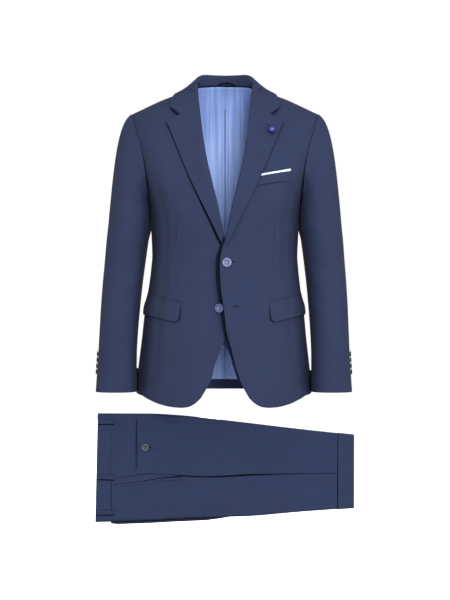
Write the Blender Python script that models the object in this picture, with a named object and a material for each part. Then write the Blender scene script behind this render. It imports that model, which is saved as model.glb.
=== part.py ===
"""A two-piece suit: a single-breasted jacket that keeps the hollow form it has when worn, and its
trousers, folded and laid sideways below it.

Metres, +Z up. The jacket faces -Y and the wearer's left is +X. The origin is where the wearer's neck
and shoulders hold the jacket up, level with the collar seam.
"""

import bpy
import bmesh
import numpy as np
from math import pi

for old in list(bpy.data.objects):
    bpy.data.objects.remove(old, do_unlink=True)

# ---------------------------------------------------------------- driving dimensions
SEAM_GAP = 0.0004          # between neighbouring pieces at a seam
LAID_GAP = 0.0007          # between a piece and the panel that it lies on
WOOL = 0.0020              # wall of a jacket panel: wool, canvas and facing
LAPEL_WALL = 0.0026        # a turned lapel at its edge
LAPEL_ROLL = 0.0030        # how much fuller the lapel is where it rolls over
ROLL_OUTSIDE, ROLL_INSIDE = 0.6, 0.25              # the shares of it in the wall and in the lift below it
COLLAR_WALL = 0.0024
HALF_GAP_TURN = SEAM_GAP / 2 / 0.6     # half a seam gap as a turn, half the torso being 0.6 round
FOLD_RADIUS = 0.0042       # the collar's turn, measured on its outside
FOLD_TIGHTER = 0.0012      # less than that at the gorge
FLAP_WALL = 0.0024
LINING_WALL = 0.0010
UNDERLAP = 0.0050          # how far the right front lies behind the left one
UNDERLAP_FULL, UNDERLAP_END = 0.016, 0.060         # in full up to here from the middle, and none from there
BUTTON_WIDTH = 0.0200
CUFF_BUTTON_WIDTH = 0.0135
TROUSER_BUTTON_WIDTH = 0.0155
SECTION_POWER = 2.25       # 2 is an ellipse, more is squarer

JACKET_WOOL = (0.043, 0.055, 0.108, 1)
TROUSER_WOOL = (0.045, 0.058, 0.115, 1)
LINING_SATIN = (0.215, 0.305, 0.610, 1)
PEARL = (0.230, 0.250, 0.400, 1)
DARK_HORN = (0.016, 0.020, 0.042, 1)
WHITE_COTTON = (0.850, 0.860, 0.880, 1)
BLUE_ENAMEL = (0.060, 0.070, 0.400, 1)


def table(names, *rows):
    """Named columns of numbers, one row for each section."""
    return {name: np.array(column, float) for name, column in zip(names.split(), zip(*rows))}


# The torso, level by level: half its width, and how far it stands in front of and behind the side.
BODY = table(
    "height half_width front_depth back_depth",
    (-0.760, 0.2090, 0.1365, 0.128),
    (-0.706, 0.2083, 0.1360, 0.128),
    (-0.679, 0.2064, 0.1352, 0.1275),
    (-0.655, 0.2040, 0.1345, 0.127),
    (-0.582, 0.1950, 0.1325, 0.123),
    (-0.514, 0.1875, 0.1300, 0.117),
    (-0.460, 0.1785, 0.1275, 0.110),
    (-0.420, 0.1735, 0.1260, 0.105),
    (-0.390, 0.1710, 0.1265, 0.104),
    (-0.352, 0.1722, 0.1290, 0.107),
    (-0.320, 0.1741, 0.1315, 0.111),
    (-0.300, 0.1762, 0.1330, 0.113),
    (-0.262, 0.1822, 0.1345, 0.117),
    (-0.230, 0.1890, 0.1350, 0.119),
    (-0.163, 0.2025, 0.1340, 0.121),
    (-0.100, 0.2150, 0.1320, 0.120),
    (-0.056, 0.2220, 0.1300, 0.118),
    (0.050, 0.2280, 0.1250, 0.115),
)

# The shoulder seam from the nape out to the sleeve head, and the drop over which the front and the
# back round off below it. Inside the neck it only guides the neckline.
SHOULDER = table(
    "across height back_of_side front_round back_round",
    (0.0000, 0.0360, 0.030, 0.320, 0.160),
    (0.0300, 0.0300, 0.027, 0.320, 0.160),
    (0.0500, 0.0190, 0.019, 0.320, 0.160),
    (0.0705, 0.0045, 0.013, 0.320, 0.160),
    (0.0900, -0.0030, 0.011, 0.300, 0.165),
    (0.1156, -0.0108, 0.010, 0.270, 0.170),
    (0.1500, -0.0238, 0.009, 0.205, 0.165),
    (0.1800, -0.0378, 0.008, 0.160, 0.150),
    (0.2000, -0.0475, 0.007, 0.135, 0.135),
    (0.2300, -0.0615, 0.006, 0.120, 0.125),
)
FRONT_POWER, BACK_POWER = 1.5, 2.0     # of that rounding

# The front edge of each front, from its rounded lower corner up to the break of the lapel.
EDGE_OVER = table(
    "height across",
    (-0.7165, 0.0553), (-0.6933, 0.0422), (-0.6724, 0.0333), (-0.6307, 0.0205), (-0.6021, 0.0136),
    (-0.5656, 0.0036), (-0.5137, -0.0025), (-0.4615, -0.0098), (-0.4200, -0.0118), (-0.3860, -0.0086),
    (-0.3660, -0.0030),
)
EDGE_UNDER = table(
    "height across",
    (-0.7165, 0.0553), (-0.6927, 0.0412), (-0.6714, 0.0305), (-0.6472, 0.0251), (-0.6250, 0.0183),
    (-0.6018, 0.0085), (-0.5850, 0.0020), (-0.5116, -0.0023), (-0.4595, -0.0136), (-0.4200, -0.0190),
    (-0.3860, -0.0160), (-0.3660, -0.0070),
)
# The roll line of the lapel, up to the gorge, and the neckline from there to the shoulder seam.
ROLL = table(
    "height across",
    (-0.3574, 0.0000), (-0.3305, 0.0052), (-0.2730, 0.0175), (-0.2230, 0.0300), (-0.1550, 0.0450),
    (-0.0860, 0.0553), (-0.0235, 0.0635), (0.0045, 0.0705),
)
GORGE_HEIGHT = -0.0235
BREAK_HEIGHT = -0.3660

# The hem of a front from the rounded corner to the side, and of the rest from there to the back.
HEM = table(
    "across height",
    (0.0553, -0.7165), (0.0683, -0.7290), (0.0839, -0.7368), (0.0996, -0.7384), (0.1204, -0.7370),
    (0.1478, -0.7312), (0.1750, -0.7232), (0.1960, -0.7142),
)
SIDE_HEM, BACK_HEM = -0.7100, -0.7092
LINING_HEM = -0.6855
LINING_PLEAT = {"deep": 0.0035, "wide": 0.020, "opens_over": 0.030}

# The armhole from the shoulder tip down the front to the underarm. A turn of 0 is the middle of the
# front, 0.5 the side and 1 the middle of the back.
ARMHOLE = table(
    "around turn height",
    (0.00, 0.4216, -0.0550), (0.10, 0.4125, -0.0780), (0.20, 0.3972, -0.1040), (0.35, 0.3750, -0.1450),
    (0.50, 0.3722, -0.1820), (0.65, 0.3880, -0.2160), (0.80, 0.4108, -0.2430), (0.90, 0.4460, -0.2560),
    (1.00, 0.5000, -0.2620),
)
SHOULDER_TIP, NECK_POINT = 0.2160, 0.0705
BACK_ARMHOLE = 0.90        # the back of the armhole is cut less hollow, by this share
# Stations round the armhole, shared by the panels and the sleeve: down the front, under the arm and up
# the back. The side seams meet it at the first and the last of the middle ones.
DOWN_FRONT = np.array([0.0, 0.03, 0.08, 0.16, 0.27, 0.40, 0.53, 0.66])
UNDERARM = np.linspace(0.80, 1.24, 6)
UP_BACK = 2 - DOWN_FRONT[::-1]
SIDE_SEAM = table("height front_turn back_turn", (-0.760, 0.398, 0.608), (-0.243, 0.4108, 0.5902))

# The sleeve below its cap: the edges nearest to and furthest from the body, and its middle and half
# depth from front to back.
SLEEVE = table(
    "height inner outer middle half_depth",
    (-0.7065, 0.2056, 0.3005, -0.038, 0.0470), (-0.6650, 0.2056, 0.2980, -0.033, 0.0485),
    (-0.6220, 0.2055, 0.2955, -0.028, 0.0505), (-0.5680, 0.2030, 0.2930, -0.021, 0.0535),
    (-0.5140, 0.1986, 0.2905, -0.014, 0.0570), (-0.4600, 0.1933, 0.2870, -0.007, 0.0610),
    (-0.4066, 0.1866, 0.2825, -0.001, 0.0655), (-0.3694, 0.1815, 0.2794, 0.001, 0.0693),
    (-0.3525, 0.1790, 0.2780, 0.002, 0.0710), (-0.3360, 0.1764, 0.2761, 0.0025, 0.0726),
    (-0.3200, 0.1758, 0.2744, 0.003, 0.0740),
)
CAP_HEIGHT = -0.3200       # where the cap has become the plain tube
SLEEVE_SEAMS = (0.80, 1.84)            # its front and back seam, as places round the armhole
SLEEVE_GAP = 0.0009
# How the sleeve leaves the armhole over the shoulder and under the arm, and how it comes into the tube.
SLEEVE_HEAD = {"tilt_top": 8, "tilt_under": 90, "leave_top": 0.040, "leave_under": 0.020,
               "arrive_top": 0.130, "arrive_under": 0.020, "arrive_lean": 0.095}
SLEEVE_POWER = 2.15        # of its section
SLEEVE_GIRTH = 0.37        # about its girth at the armhole
# The left sleeve hangs a little nearer than the right one, and the left side gives way to it.
LEFT_NEARER = {"by": 0.0050, "from_height": -0.250, "over": 0.450, "from_across": 0.100, "wide": 0.090}

# The collar from the nape to the gorge: where its base meets the neckline, how high it stands, how far
# the stand leans in, and where its edge lies on the shoulders.
COLLAR = table(
    "along base_x base_z rise lean edge_x edge_y",
    (0.00, 0.0000, 0.0178, 0.0252, 0.003, 0.0000, 0.0860),
    (0.20, 0.0280, 0.0168, 0.0262, 0.003, 0.0430, 0.0770),
    (0.40, 0.0520, 0.0130, 0.0287, 0.004, 0.0850, 0.0470),
    (0.55, 0.0705, 0.0045, 0.0208, 0.005, 0.1130, 0.0150),
    (0.70, 0.0683, -0.0060, 0.0165, 0.004, 0.1225, -0.0040),
    (0.90, 0.0652, -0.0180, 0.0090, 0.002, 0.1287, -0.0260),
    (1.00, 0.0635, -0.0235, 0.0060, 0.001, 0.1083, -0.0430),
)
NECK_STATION = 0.55        # the station at the shoulder seam
STAND_OVER, STAND_INSIDE = 0.0008, 0.0018          # of its foot, from the neckline
FALL = {"out": 0.62, "down": 0.78, "reach": 0.42}  # how its fall leaves the fold
FALL_LIES_OVER = 0.35      # the stretch, past the shoulder seam, over which the fall comes to lie flat
COLLAR_LIES = COLLAR_WALL + 0.0024     # its outside over the shoulders

# The outer edge of the lapel from its break up to the tip.
LAPEL_EDGE = table(
    "height across",
    (-0.3680, 0.0060), (-0.3574, 0.0110), (-0.3300, 0.0240), (-0.2700, 0.0530), (-0.2124, 0.0810),
    (-0.1500, 0.1070), (-0.1100, 0.1235), (-0.0800, 0.1365),
)
NOTCH = (0.1080, -0.0668)  # across and height of the inner corner of the notch
LAPEL_TIP = (0.1365, -0.0800)
ROLL_GAP = 0.0006          # from the roll line to the lapel
# Across the lapel from the roll: how full it is and how thick, as shares of its roll and its wall.
LAPEL_FORM = table(
    "at roll wall",
    (0.00, 0.00, 0.45), (0.06, 0.70, 0.90), (0.16, 1.00, 1.00), (0.35, 0.75, 1.00), (0.60, 0.35, 1.00),
    (0.82, 0.10, 1.00), (1.00, 0.00, 0.90),
)
LAPEL_CORNER = 4           # the place in it that ends at the notch
LOWER_BREAK = 0.0045       # the covered lapel starts this much further over

# Pockets on the fronts.
FLAP = {"across": 0.1005, "height": -0.4980, "rise": 0.21, "length": 0.142, "drop": 0.0475, "corner": 0.012,
        "furthest_turn": 0.60}
WELT = {"inner": 0.0855, "outer": 0.1500, "height": -0.2330, "rise": 0.200, "tall": 0.0225, "lean": 0.12,
        "off_lapel": 0.0010}
WELT_WALL, SQUARE_WALL = 0.0022, 0.0013
SQUARE_SHOWS = 0.0045      # how much of the pocket square stands above the welt
ROUND_THE_SIDE_GAP = 0.0002            # more clearance where a piece bends round the side

BUTTONS = {"upper": (0.0045, -0.4080), "lower": (-0.0136, -0.5120)}
BUTTON_GAP = 0.0009        # between a button and the cloth, as its thread holds it
CUFF_BUTTONS = {"lowest": -0.6606, "pitch": 0.0138, "count": 4}
PIN = {"across": 0.1054, "height": -0.1050, "ball": 0.0070, "stud": 0.0012, "lift": 0.0045}
LOOP = {"middle": 0.004, "half": 0.019, "low": 0.0008, "rise": 0.0095, "off_collar": 0.0017,
        "wide": 0.0028, "wall": 0.0011}

# The folded trousers, from the waist (at the right sleeve's side, -X) to the turn-ups: the upper and
# lower creases and the side seam of the leg in front, and half the packet's thickness.
PACKET = table(
    "across upper lower seam half",
    (-0.3010, -0.7602, -1.0140, -0.9110, 0.0135),
    (-0.2420, -0.7604, -1.0123, -0.9097, 0.0132),
    (-0.1770, -0.7607, -1.0100, -0.9008, 0.0129),
    (-0.1058, -0.7645, -1.0062, -0.9035, 0.0125),
    (-0.0300, -0.7728, -1.0032, -0.9065, 0.0119),
    (0.0500, -0.7820, -1.0009, -0.9035, 0.0113),
    (0.1763, -0.7969, -0.9905, -0.9001, 0.0106),
    (0.3028, -0.8105, -0.9814, -0.8993, 0.0100),
)
WAIST_END, LEG_END = PACKET["across"][0], PACKET["across"][-1]
LEG_WALL, BAND_WALL, TURN_UP_WALL = 0.0016, 0.0020, 0.0018
WAIST_BAND = 0.0345        # width of the waistband
TURN_UP = 0.0380           # depth of the turn-up
WAIST_LEAN = {"slope": 0.0216, "level": -0.887, "fades": 0.080}    # of the waist's end, out of square
BAND_STANDS, TURN_UP_STANDS = 0.0006, 0.0008       # how far each lies beyond the legs' outside
FOLD_SPACE = 0.0006        # between the two legs, in the middle of the packet
# The rounded solid of the layers inside: its ends and edges lie this far in, and its corners are this
# round, both as lengths and as shares of half the packet.
INNER = {"ends": 0.004, "edges": 0.0105, "edges_share": 0.35, "round_share": 0.55}
# How far the far leg peeps out below the near one, and between which places along the packet.
UNDER_LEG = {"shows": 0.0070, "starts": -0.275, "full_from": -0.225, "full_to": -0.055, "ends": 0.020}
BELT_LOOPS = {"heights": (-0.7790, -0.9080, -0.9912), "wide": 0.0095, "wall": 0.0018,
              "inset": 0.0015, "past_band": 0.0075}
BACK_JETS = {"across": -0.2100, "top": -0.7709, "bottom": -0.8880, "wide": 0.0052, "wall": 0.0011}
BACK_BUTTON = (-0.1868, -0.8387)
# The slanted mouth of each front pocket, from the waistband to where it meets the side seam.
POCKET_MOUTH = table(
    "across height",
    (-0.2600, -0.9258), (-0.2036, -0.9200), (-0.1451, -0.9112), (-0.1053, -0.9092),
)
MOUTH_EDGE, MOUTH_WALL = 0.0055, 0.0011            # width and wall of its turned edge


# ---------------------------------------------------------------- curves and surfaces
def follow(columns, key, name, at):
    """The column `name` where the column `key` is `at`, on a smooth curve with no overshoot."""
    x, y = columns[key], columns[name]
    if x[0] > x[-1]:
        x, y = x[::-1], y[::-1]
    steps = np.diff(x)
    slopes = np.diff(y) / steps
    tangents = np.zeros(len(x))
    same_way = slopes[:-1] * slopes[1:] > 0
    mean = 2 * slopes[:-1] * slopes[1:] / np.where(same_way, slopes[:-1] + slopes[1:], 1)
    tangents[1:-1] = np.where(same_way, mean, 0)
    tangents[0], tangents[-1] = slopes[0], slopes[-1]
    at = np.clip(np.asarray(at, float), x[0], x[-1])
    i = np.clip(np.searchsorted(x, at) - 1, 0, len(x) - 2)
    t = (at - x[i]) / steps[i]
    start = (1 + 2 * t) * (1 - t) ** 2 * y[i] + t * (1 - t) ** 2 * steps[i] * tangents[i]
    end = t ** 2 * (3 - 2 * t) * y[i + 1] + t ** 2 * (t - 1) * steps[i] * tangents[i + 1]
    return start + end


def ease(t):
    """0 to 1 with level ends."""
    t = np.clip(t, 0, 1)
    return t * t * (3 - 2 * t)


def power(value, exponent):
    return np.sign(value) * np.abs(value) ** exponent


def body_at(turn, height):
    """Points of the torso's outside, from the turn round it and the height."""
    turn, height = np.broadcast_arrays(np.asarray(turn, float), np.asarray(height, float))
    exponent = 2 / SECTION_POWER
    x = follow(BODY, "height", "half_width", height) * power(np.sin(pi * turn), exponent)
    front = np.cos(pi * turn) >= 0
    depth = np.where(front, follow(BODY, "height", "front_depth", height),
                     follow(BODY, "height", "back_depth", height))
    full = -depth * power(np.cos(pi * turn), exponent)
    out = np.abs(x)
    ridge = follow(SHOULDER, "across", "height", out)
    seam = follow(SHOULDER, "across", "back_of_side", out)
    drop = np.where(front, follow(SHOULDER, "across", "front_round", out),
                    follow(SHOULDER, "across", "back_round", out))
    bend = np.where(front, FRONT_POWER, BACK_POWER)
    t = np.clip((ridge - height) / drop, 0, 1)
    rounded = (1 - (1 - t) ** bend) ** (1 / bend)
    return np.stack([x, seam + (full - seam) * rounded, height], axis=-1)


def turn_at(across, height, front=True):
    """The turn at which the torso is `across` from the middle at that height."""
    width = follow(BODY, "height", "half_width", height)
    share = np.clip(np.abs(across) / width, 0, 1) ** (SECTION_POWER / 2)
    turn = np.arcsin(share) / pi
    return np.sign(across) * turn if front else 1 - turn


def normals_at(turn, height):
    """Outward directions of the torso's outside."""
    step, down = 2e-4, 2e-5
    across = body_at(turn + step, height) - body_at(turn - step, height)
    fall = body_at(turn, height - down) - body_at(turn, height)
    out = np.cross(fall, across)
    return out / np.linalg.norm(out, axis=-1, keepdims=True)


def body_over(across, forward):
    """Points of the shoulders at a place in plan."""
    height = follow(SHOULDER, "across", "height", np.abs(across)) - 0.01
    for _ in range(40):
        out = np.abs(across)
        seam = follow(SHOULDER, "across", "back_of_side", out)
        ridge = follow(SHOULDER, "across", "height", out)
        front = forward < seam
        side = np.cos(pi * turn_at(out, height)) ** (2 / SECTION_POWER)
        depth = np.where(front, follow(BODY, "height", "front_depth", height),
                         follow(BODY, "height", "back_depth", height)) * side
        reach = np.where(front, (seam - forward) / (depth + seam), (forward - seam) / (depth - seam))
        bend = np.where(front, FRONT_POWER, BACK_POWER)
        drop = np.where(front, follow(SHOULDER, "across", "front_round", out),
                        follow(SHOULDER, "across", "back_round", out))
        t = 1 - (1 - np.clip(reach, 0, 0.98) ** bend) ** (1 / bend)
        height = 0.5 * height + 0.5 * (ridge - drop * t)
    return np.stack([across, forward, height], axis=-1)


def patch(bottom, top, left, right, columns, rows):
    """Blends four edges, each an array of (turn, height), at shares along them from 0 to 1."""
    u = np.asarray(columns)[None, :, None]
    v = np.asarray(rows)[:, None, None]
    low, high, near, far = bottom[None], top[None], left[:, None], right[:, None]
    corners = (low[:, :1] * (1 - u) + low[:, -1:] * u) * (1 - v)
    corners = corners + (high[:, :1] * (1 - u) + high[:, -1:] * u) * v
    grid = low * (1 - v) + high * v + near * (1 - u) + far * u - corners
    return grid[..., 0], grid[..., 1]


def mirrored(points, side):
    return points * np.array([side, 1, 1])


def grid_normals(points):
    """Directions square to a grid of points."""
    out = np.cross(np.gradient(points, axis=0), np.gradient(points, axis=1))
    return out / np.linalg.norm(out, axis=-1, keepdims=True)


# ---------------------------------------------------------------- materials and meshes
def finish(name, colour, roughness, metallic=0.0):
    material = bpy.data.materials.get(name) or bpy.data.materials.new(name)
    material.use_nodes = True
    shader = material.node_tree.nodes["Principled BSDF"]
    shader.inputs["Base Color"].default_value = colour
    shader.inputs["Roughness"].default_value = roughness
    shader.inputs["Metallic"].default_value = metallic
    return material


def add_mesh(name, points, faces, look):
    mesh = bpy.data.meshes.new(name)
    mesh.from_pydata([tuple(point) for point in points], [], faces)
    edit = bmesh.new()
    edit.from_mesh(mesh)
    bmesh.ops.recalc_face_normals(edit, faces=edit.faces)
    edit.to_mesh(mesh)
    edit.free()
    mesh.materials.append(finish(*look))
    mesh.shade_smooth()
    mesh.set_sharp_from_angle(angle=0.6)
    piece = bpy.data.objects.new(name, mesh)
    bpy.context.scene.collection.objects.link(piece)
    return piece


def add_wall(name, outer, inner, look):
    """One closed wall between two grids of points."""
    rows, columns = outer.shape[:2]
    back = rows * columns
    faces = []
    for i in range(rows - 1):
        for j in range(columns - 1):
            a = i * columns + j
            b, c, d = a + 1, a + columns + 1, a + columns
            faces += [(a, b, c), (a, c, d), (back + c, back + b, back + a), (back + d, back + c, back + a)]
    rim = [[i * columns + j for j in range(columns)] for i in (0, rows - 1)]
    rim += [[i * columns + j for i in range(rows)] for j in (0, columns - 1)]
    for edge in rim:
        faces += [(a, b, back + b, back + a) for a, b in zip(edge, edge[1:])]
    points = np.concatenate([outer.reshape(-1, 3), inner.reshape(-1, 3)])
    return add_mesh(name, points, faces, look)


WOOL_LOOK = ("jacket_wool", JACKET_WOOL, 0.85)
TROUSER_LOOK = ("trouser_wool", TROUSER_WOOL, 0.85)
LINING_LOOK = ("lining_satin", LINING_SATIN, 0.45)
PEARL_LOOK = ("pearl_buttons", PEARL, 0.30)
HORN_LOOK = ("dark_buttons", DARK_HORN, 0.35)
COTTON_LOOK = ("white_cotton", WHITE_COTTON, 0.80)
PIN_LOOK = ("blue_enamel", BLUE_ENAMEL, 0.15)


def left_nearer(points):
    """Brings what hangs on the left in towards the body, more and more down to the cuff."""
    low = ease((LEFT_NEARER["from_height"] - points[:, 2]) / LEFT_NEARER["over"])
    far = ease((points[:, 0] - LEFT_NEARER["from_across"]) / LEFT_NEARER["wide"])
    points[:, 0] -= LEFT_NEARER["by"] * low * far


def lean_waist(points):
    """Sets the waist's end of the packet out of square."""
    near = 1 - ease((points[:, 0] - WAIST_END) / WAIST_LEAN["fades"])
    points[:, 0] += WAIST_LEAN["slope"] * (points[:, 2] - WAIST_LEAN["level"]) * near


def move_points(pieces, move):
    """Applies one small movement to all points of some pieces, so that they still fit each other."""
    for piece in pieces:
        points = np.empty(len(piece.data.vertices) * 3, np.float32)
        piece.data.vertices.foreach_get("co", points)
        placed = points.reshape(-1, 3).astype(float)
        move(placed)
        piece.data.vertices.foreach_set("co", placed.ravel())
        piece.data.update()


# ---------------------------------------------------------------- jacket panels
def underlap(points_turn, height):
    """How far the right front is pushed in where the left one covers it."""
    across = body_at(points_turn, height)[..., 0]
    return UNDERLAP * ease((UNDERLAP_END - across) / (UNDERLAP_END - UNDERLAP_FULL))


def front_frame(side, turn, height, lift=0.0):
    """Points on a front panel's outside, moved out by lift, and their outward directions."""
    points, out = body_at(turn, height), normals_at(turn, height)
    if side < 0:
        lift = lift - underlap(turn, height)
    points = points + out * np.asarray(lift + np.zeros(turn.shape))[..., None]
    return mirrored(points, side), mirrored(out, side)


def armhole(around):
    """Turn and height of the armhole seam, from the shoulder tip (0) by the underarm (1) to it again (2)."""
    around = np.asarray(around, float)
    share = np.where(around <= 1, around, 2 - around)
    turn = follow(ARMHOLE, "around", "turn", share)
    hollow = 1 + (BACK_ARMHOLE - 1) * np.sin(pi * np.clip(share, 0, 1))
    turn = np.where(around <= 1, turn, 0.5 + (0.5 - turn) * hollow)
    return turn, follow(ARMHOLE, "around", "height", share)


def side_edge(low, column, seam_steps, armhole_steps):
    """A panel's edge from its hem up the side seam and the armhole, as turns and heights."""
    turn, height = armhole(armhole_steps)
    below = np.linspace(low, height[0], seam_steps)[:-1]
    seam = follow(SIDE_SEAM, "height", column, below)
    return np.concatenate([seam, turn]), np.concatenate([below, height])


def pair(turn, height):
    return np.stack(np.broadcast_arrays(turn, height), axis=-1)


def under_ridge(turn, height):
    """Keeps the heights of a panel at or under the shoulder seam."""
    across = np.abs(body_at(turn, height)[..., 0])
    return np.minimum(height, follow(SHOULDER, "across", "height", across))


def front_panel(side):
    """One front, from its front edge to the side seam and the armhole."""
    edge = EDGE_OVER if side > 0 else EDGE_UNDER
    far_turn, far_height = side_edge(HEM["height"][-1], "front_turn", 13, UNDERARM[0:1].tolist()
                                     + DOWN_FRONT[::-1].tolist())
    far_turn = np.where(far_height <= far_height[12] + 1e-9, far_turn - HALF_GAP_TURN, far_turn)
    rows = (far_height - far_height[0]) / (far_height[-1] - far_height[0])
    near_height = edge["height"][0] + (ROLL["height"][-1] - edge["height"][0]) * rows
    on_edge = follow(edge, "height", "across", near_height)
    on_roll = follow(ROLL, "height", "across", near_height)
    turned = ease((near_height - BREAK_HEIGHT) / 0.010)
    near = pair(turn_at(on_edge * (1 - turned) + on_roll * turned, near_height), near_height)

    columns = np.linspace(0, 1, 11) ** 0.9
    across = HEM["across"][0] + (HEM["across"][-1] - HEM["across"][0]) * columns
    height = follow(HEM, "across", "height", across)
    turn = turn_at(across, height)
    turn = turn[0] + (turn - turn[0]) * (far_turn[0] - turn[0]) / (turn[-1] - turn[0])
    low = pair(turn, height)
    across = NECK_POINT + (SHOULDER_TIP - NECK_POINT) * columns
    height = follow(SHOULDER, "across", "height", across)
    high = pair(turn_at(across, height), height)

    turn, height = patch(low, high, near, pair(far_turn, far_height), columns, rows)
    outer, out = front_frame(side, turn, under_ridge(turn, height))
    inner = outer - out * WOOL
    for wall in (outer, inner):
        wall[..., 1] -= SEAM_GAP / 2
    add_wall("front_left" if side > 0 else "front_right", outer, inner, WOOL_LOOK)


def side_panel(side):
    """The narrow panel under the arm, between the front and the back."""
    rows = np.linspace(0, 1, 12)[:, None]
    top_turn, top = armhole(UNDERARM)
    share = np.linspace(0, 1, len(UNDERARM))
    low = SIDE_HEM + (HEM["height"][-1] - SIDE_HEM) * (1 - ease(share * 2))
    start = follow(SIDE_SEAM, "height", "front_turn", low[0])
    end = follow(SIDE_SEAM, "height", "back_turn", low[-1])
    low_turn = start + (end - start) * share
    ends = HALF_GAP_TURN * (1 - 2 * share) * (np.abs(2 * share - 1) > 0.99)
    turn = (low_turn + ends) * (1 - rows) + (top_turn + ends) * rows
    height = low * (1 - rows) + top * rows
    outer = mirrored(body_at(turn, height), side)
    inner = outer - mirrored(normals_at(turn, height), side) * WOOL
    add_wall("side_left" if side > 0 else "side_right", outer, inner, WOOL_LOOK)


def back_grid():
    """Turns and heights of half the back, from the centre seam to the side seam and the armhole."""
    far_turn, far_height = side_edge(LINING_HEM, "back_turn", 11, UNDERARM[-1:].tolist() + UP_BACK.tolist())
    far_height = np.concatenate([[BACK_HEM], far_height])
    far_turn = np.concatenate([[follow(SIDE_SEAM, "height", "back_turn", BACK_HEM)], far_turn])
    far_turn = np.where(far_height <= far_height[11] + 1e-9, far_turn + HALF_GAP_TURN, far_turn)
    rows = (far_height - BACK_HEM) / (far_height[-1] - BACK_HEM)
    near_height = BACK_HEM + (COLLAR["base_z"][0] - BACK_HEM) * rows
    near = pair(np.ones(len(rows)), near_height)

    neck_share = NECK_POINT / SHOULDER_TIP
    columns = np.concatenate([np.linspace(0, neck_share, 4), np.linspace(neck_share, 1, 6)[1:]])
    low = pair(1 + (far_turn[0] - 1) * columns, BACK_HEM)
    across = SHOULDER_TIP * columns
    neck = follow({"x": COLLAR["base_x"][:4], "z": COLLAR["base_z"][:4]}, "x", "z", across)
    height = np.where(across < NECK_POINT, neck, follow(SHOULDER, "across", "height", across))
    high = pair(turn_at(across, height, front=False), height)
    turn, height = patch(low, high, near, pair(far_turn, far_height), columns, rows)
    return turn, under_ridge(turn, height)


def half_back(side, turn, height, level, wall_thickness):
    """Outside and inside of half a back layer, level below the torso's outside."""
    base, out = body_at(turn, height), normals_at(turn, height)
    out[:, 0] = out[:, 0] * [0, 1, 1]
    walls = []
    for deep in (level, level + wall_thickness):
        wall = base - out * (deep + np.zeros(turn.shape))[..., None]
        wall[..., 1] += SEAM_GAP / 2
        wall = mirrored(wall, side)
        wall[:, 0, 0] = side * SEAM_GAP / 2
        walls.append(wall)
    return walls


def back_panel(side):
    turn, height = back_grid()
    walls = half_back(side, turn, height, 0.0, WOOL)
    add_wall("back_left" if side > 0 else "back_right", *walls, WOOL_LOOK)


def lining_panel(side):
    """Half the back lining, with half of the ease pleat that runs down its middle."""
    turn, height = (grid[1:] for grid in back_grid())
    across = np.abs(body_at(turn, height)[..., 0])
    opened = ease(-height / LINING_PLEAT["opens_over"])
    pleat = LINING_PLEAT["deep"] * (1 - ease(across / LINING_PLEAT["wide"])) * opened
    walls = half_back(side, turn, height, WOOL + SEAM_GAP + pleat, LINING_WALL)
    add_wall("lining_left" if side > 0 else "lining_right", *walls, LINING_LOOK)


# ---------------------------------------------------------------- sleeves
def sleeve_ring(height, around):
    """A level ring of the sleeve. Around runs from its outside (0) by the front, inside and back."""
    inner, outer = (follow(SLEEVE, "height", name, height) for name in ("inner", "outer"))
    middle = follow(SLEEVE, "height", "middle", height)
    half_depth = follow(SLEEVE, "height", "half_depth", height)
    exponent = 2 / SLEEVE_POWER
    x = (inner + outer) / 2 + (outer - inner) / 2 * power(np.cos(2 * pi * around), exponent)
    y = middle - half_depth * power(np.sin(2 * pi * around), exponent)
    return np.stack([x, y, np.full(len(around), float(height))], axis=-1)


def sleeve_grid(places):
    """The sleeve's outside at places round the armhole: a cap set into it, then the tube to the cuff."""
    turn, height = armhole(places % 2)
    around = (places % 2) / 2
    start = body_at(turn, height) + np.array([SLEEVE_GAP, 0, 0])
    end = sleeve_ring(CAP_HEIGHT, around)
    top = ((1 + np.cos(2 * pi * around)) / 2)[:, None]
    head = SLEEVE_HEAD
    tilt = np.radians(head["tilt_top"] * top + head["tilt_under"] * (1 - top))
    leave = np.concatenate([np.cos(tilt), np.zeros_like(tilt), -np.sin(tilt)], axis=1)
    first = start + leave * (head["leave_top"] * top + head["leave_under"] * (1 - top))
    arrive = np.concatenate([-head["arrive_lean"] * top, np.zeros_like(tilt), np.ones_like(tilt)], axis=1)
    second = end + arrive * (head["arrive_top"] * top + head["arrive_under"] * (1 - top))
    rows = []
    for t in np.linspace(0, 1, 8):
        rows.append((1 - t) ** 3 * start + 3 * t * (1 - t) ** 2 * first
                    + 3 * t ** 2 * (1 - t) * second + t ** 3 * end)
    for height in np.linspace(CAP_HEIGHT, SLEEVE["height"][0], 9)[1:]:
        rows.append(sleeve_ring(height, around))
    return np.array(rows)


def sleeve_piece(name, side, places):
    """A stretch of the sleeve between two of its seams."""
    places = np.array(places)
    shrink = 1.8 * SEAM_GAP / SLEEVE_GIRTH     # half a seam gap and a little more, as a place
    places[0] += shrink
    places[-1] -= shrink
    wide = np.concatenate([[2 * places[0] - places[1]], places, [2 * places[-1] - places[-2]]])
    grid = sleeve_grid(wide)
    out = grid_normals(grid)[:, 1:-1]
    outer = grid[:, 1:-1]
    middle = sleeve_grid(np.linspace(0, 2, 16, endpoint=False)).mean(axis=1)[-1]
    if np.sum((outer[-1] - middle) * out[-1]) < 0:
        out = -out
    inner = outer - out * WOOL
    add_wall(name, mirrored(outer, side), mirrored(inner, side), WOOL_LOOK)


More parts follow.
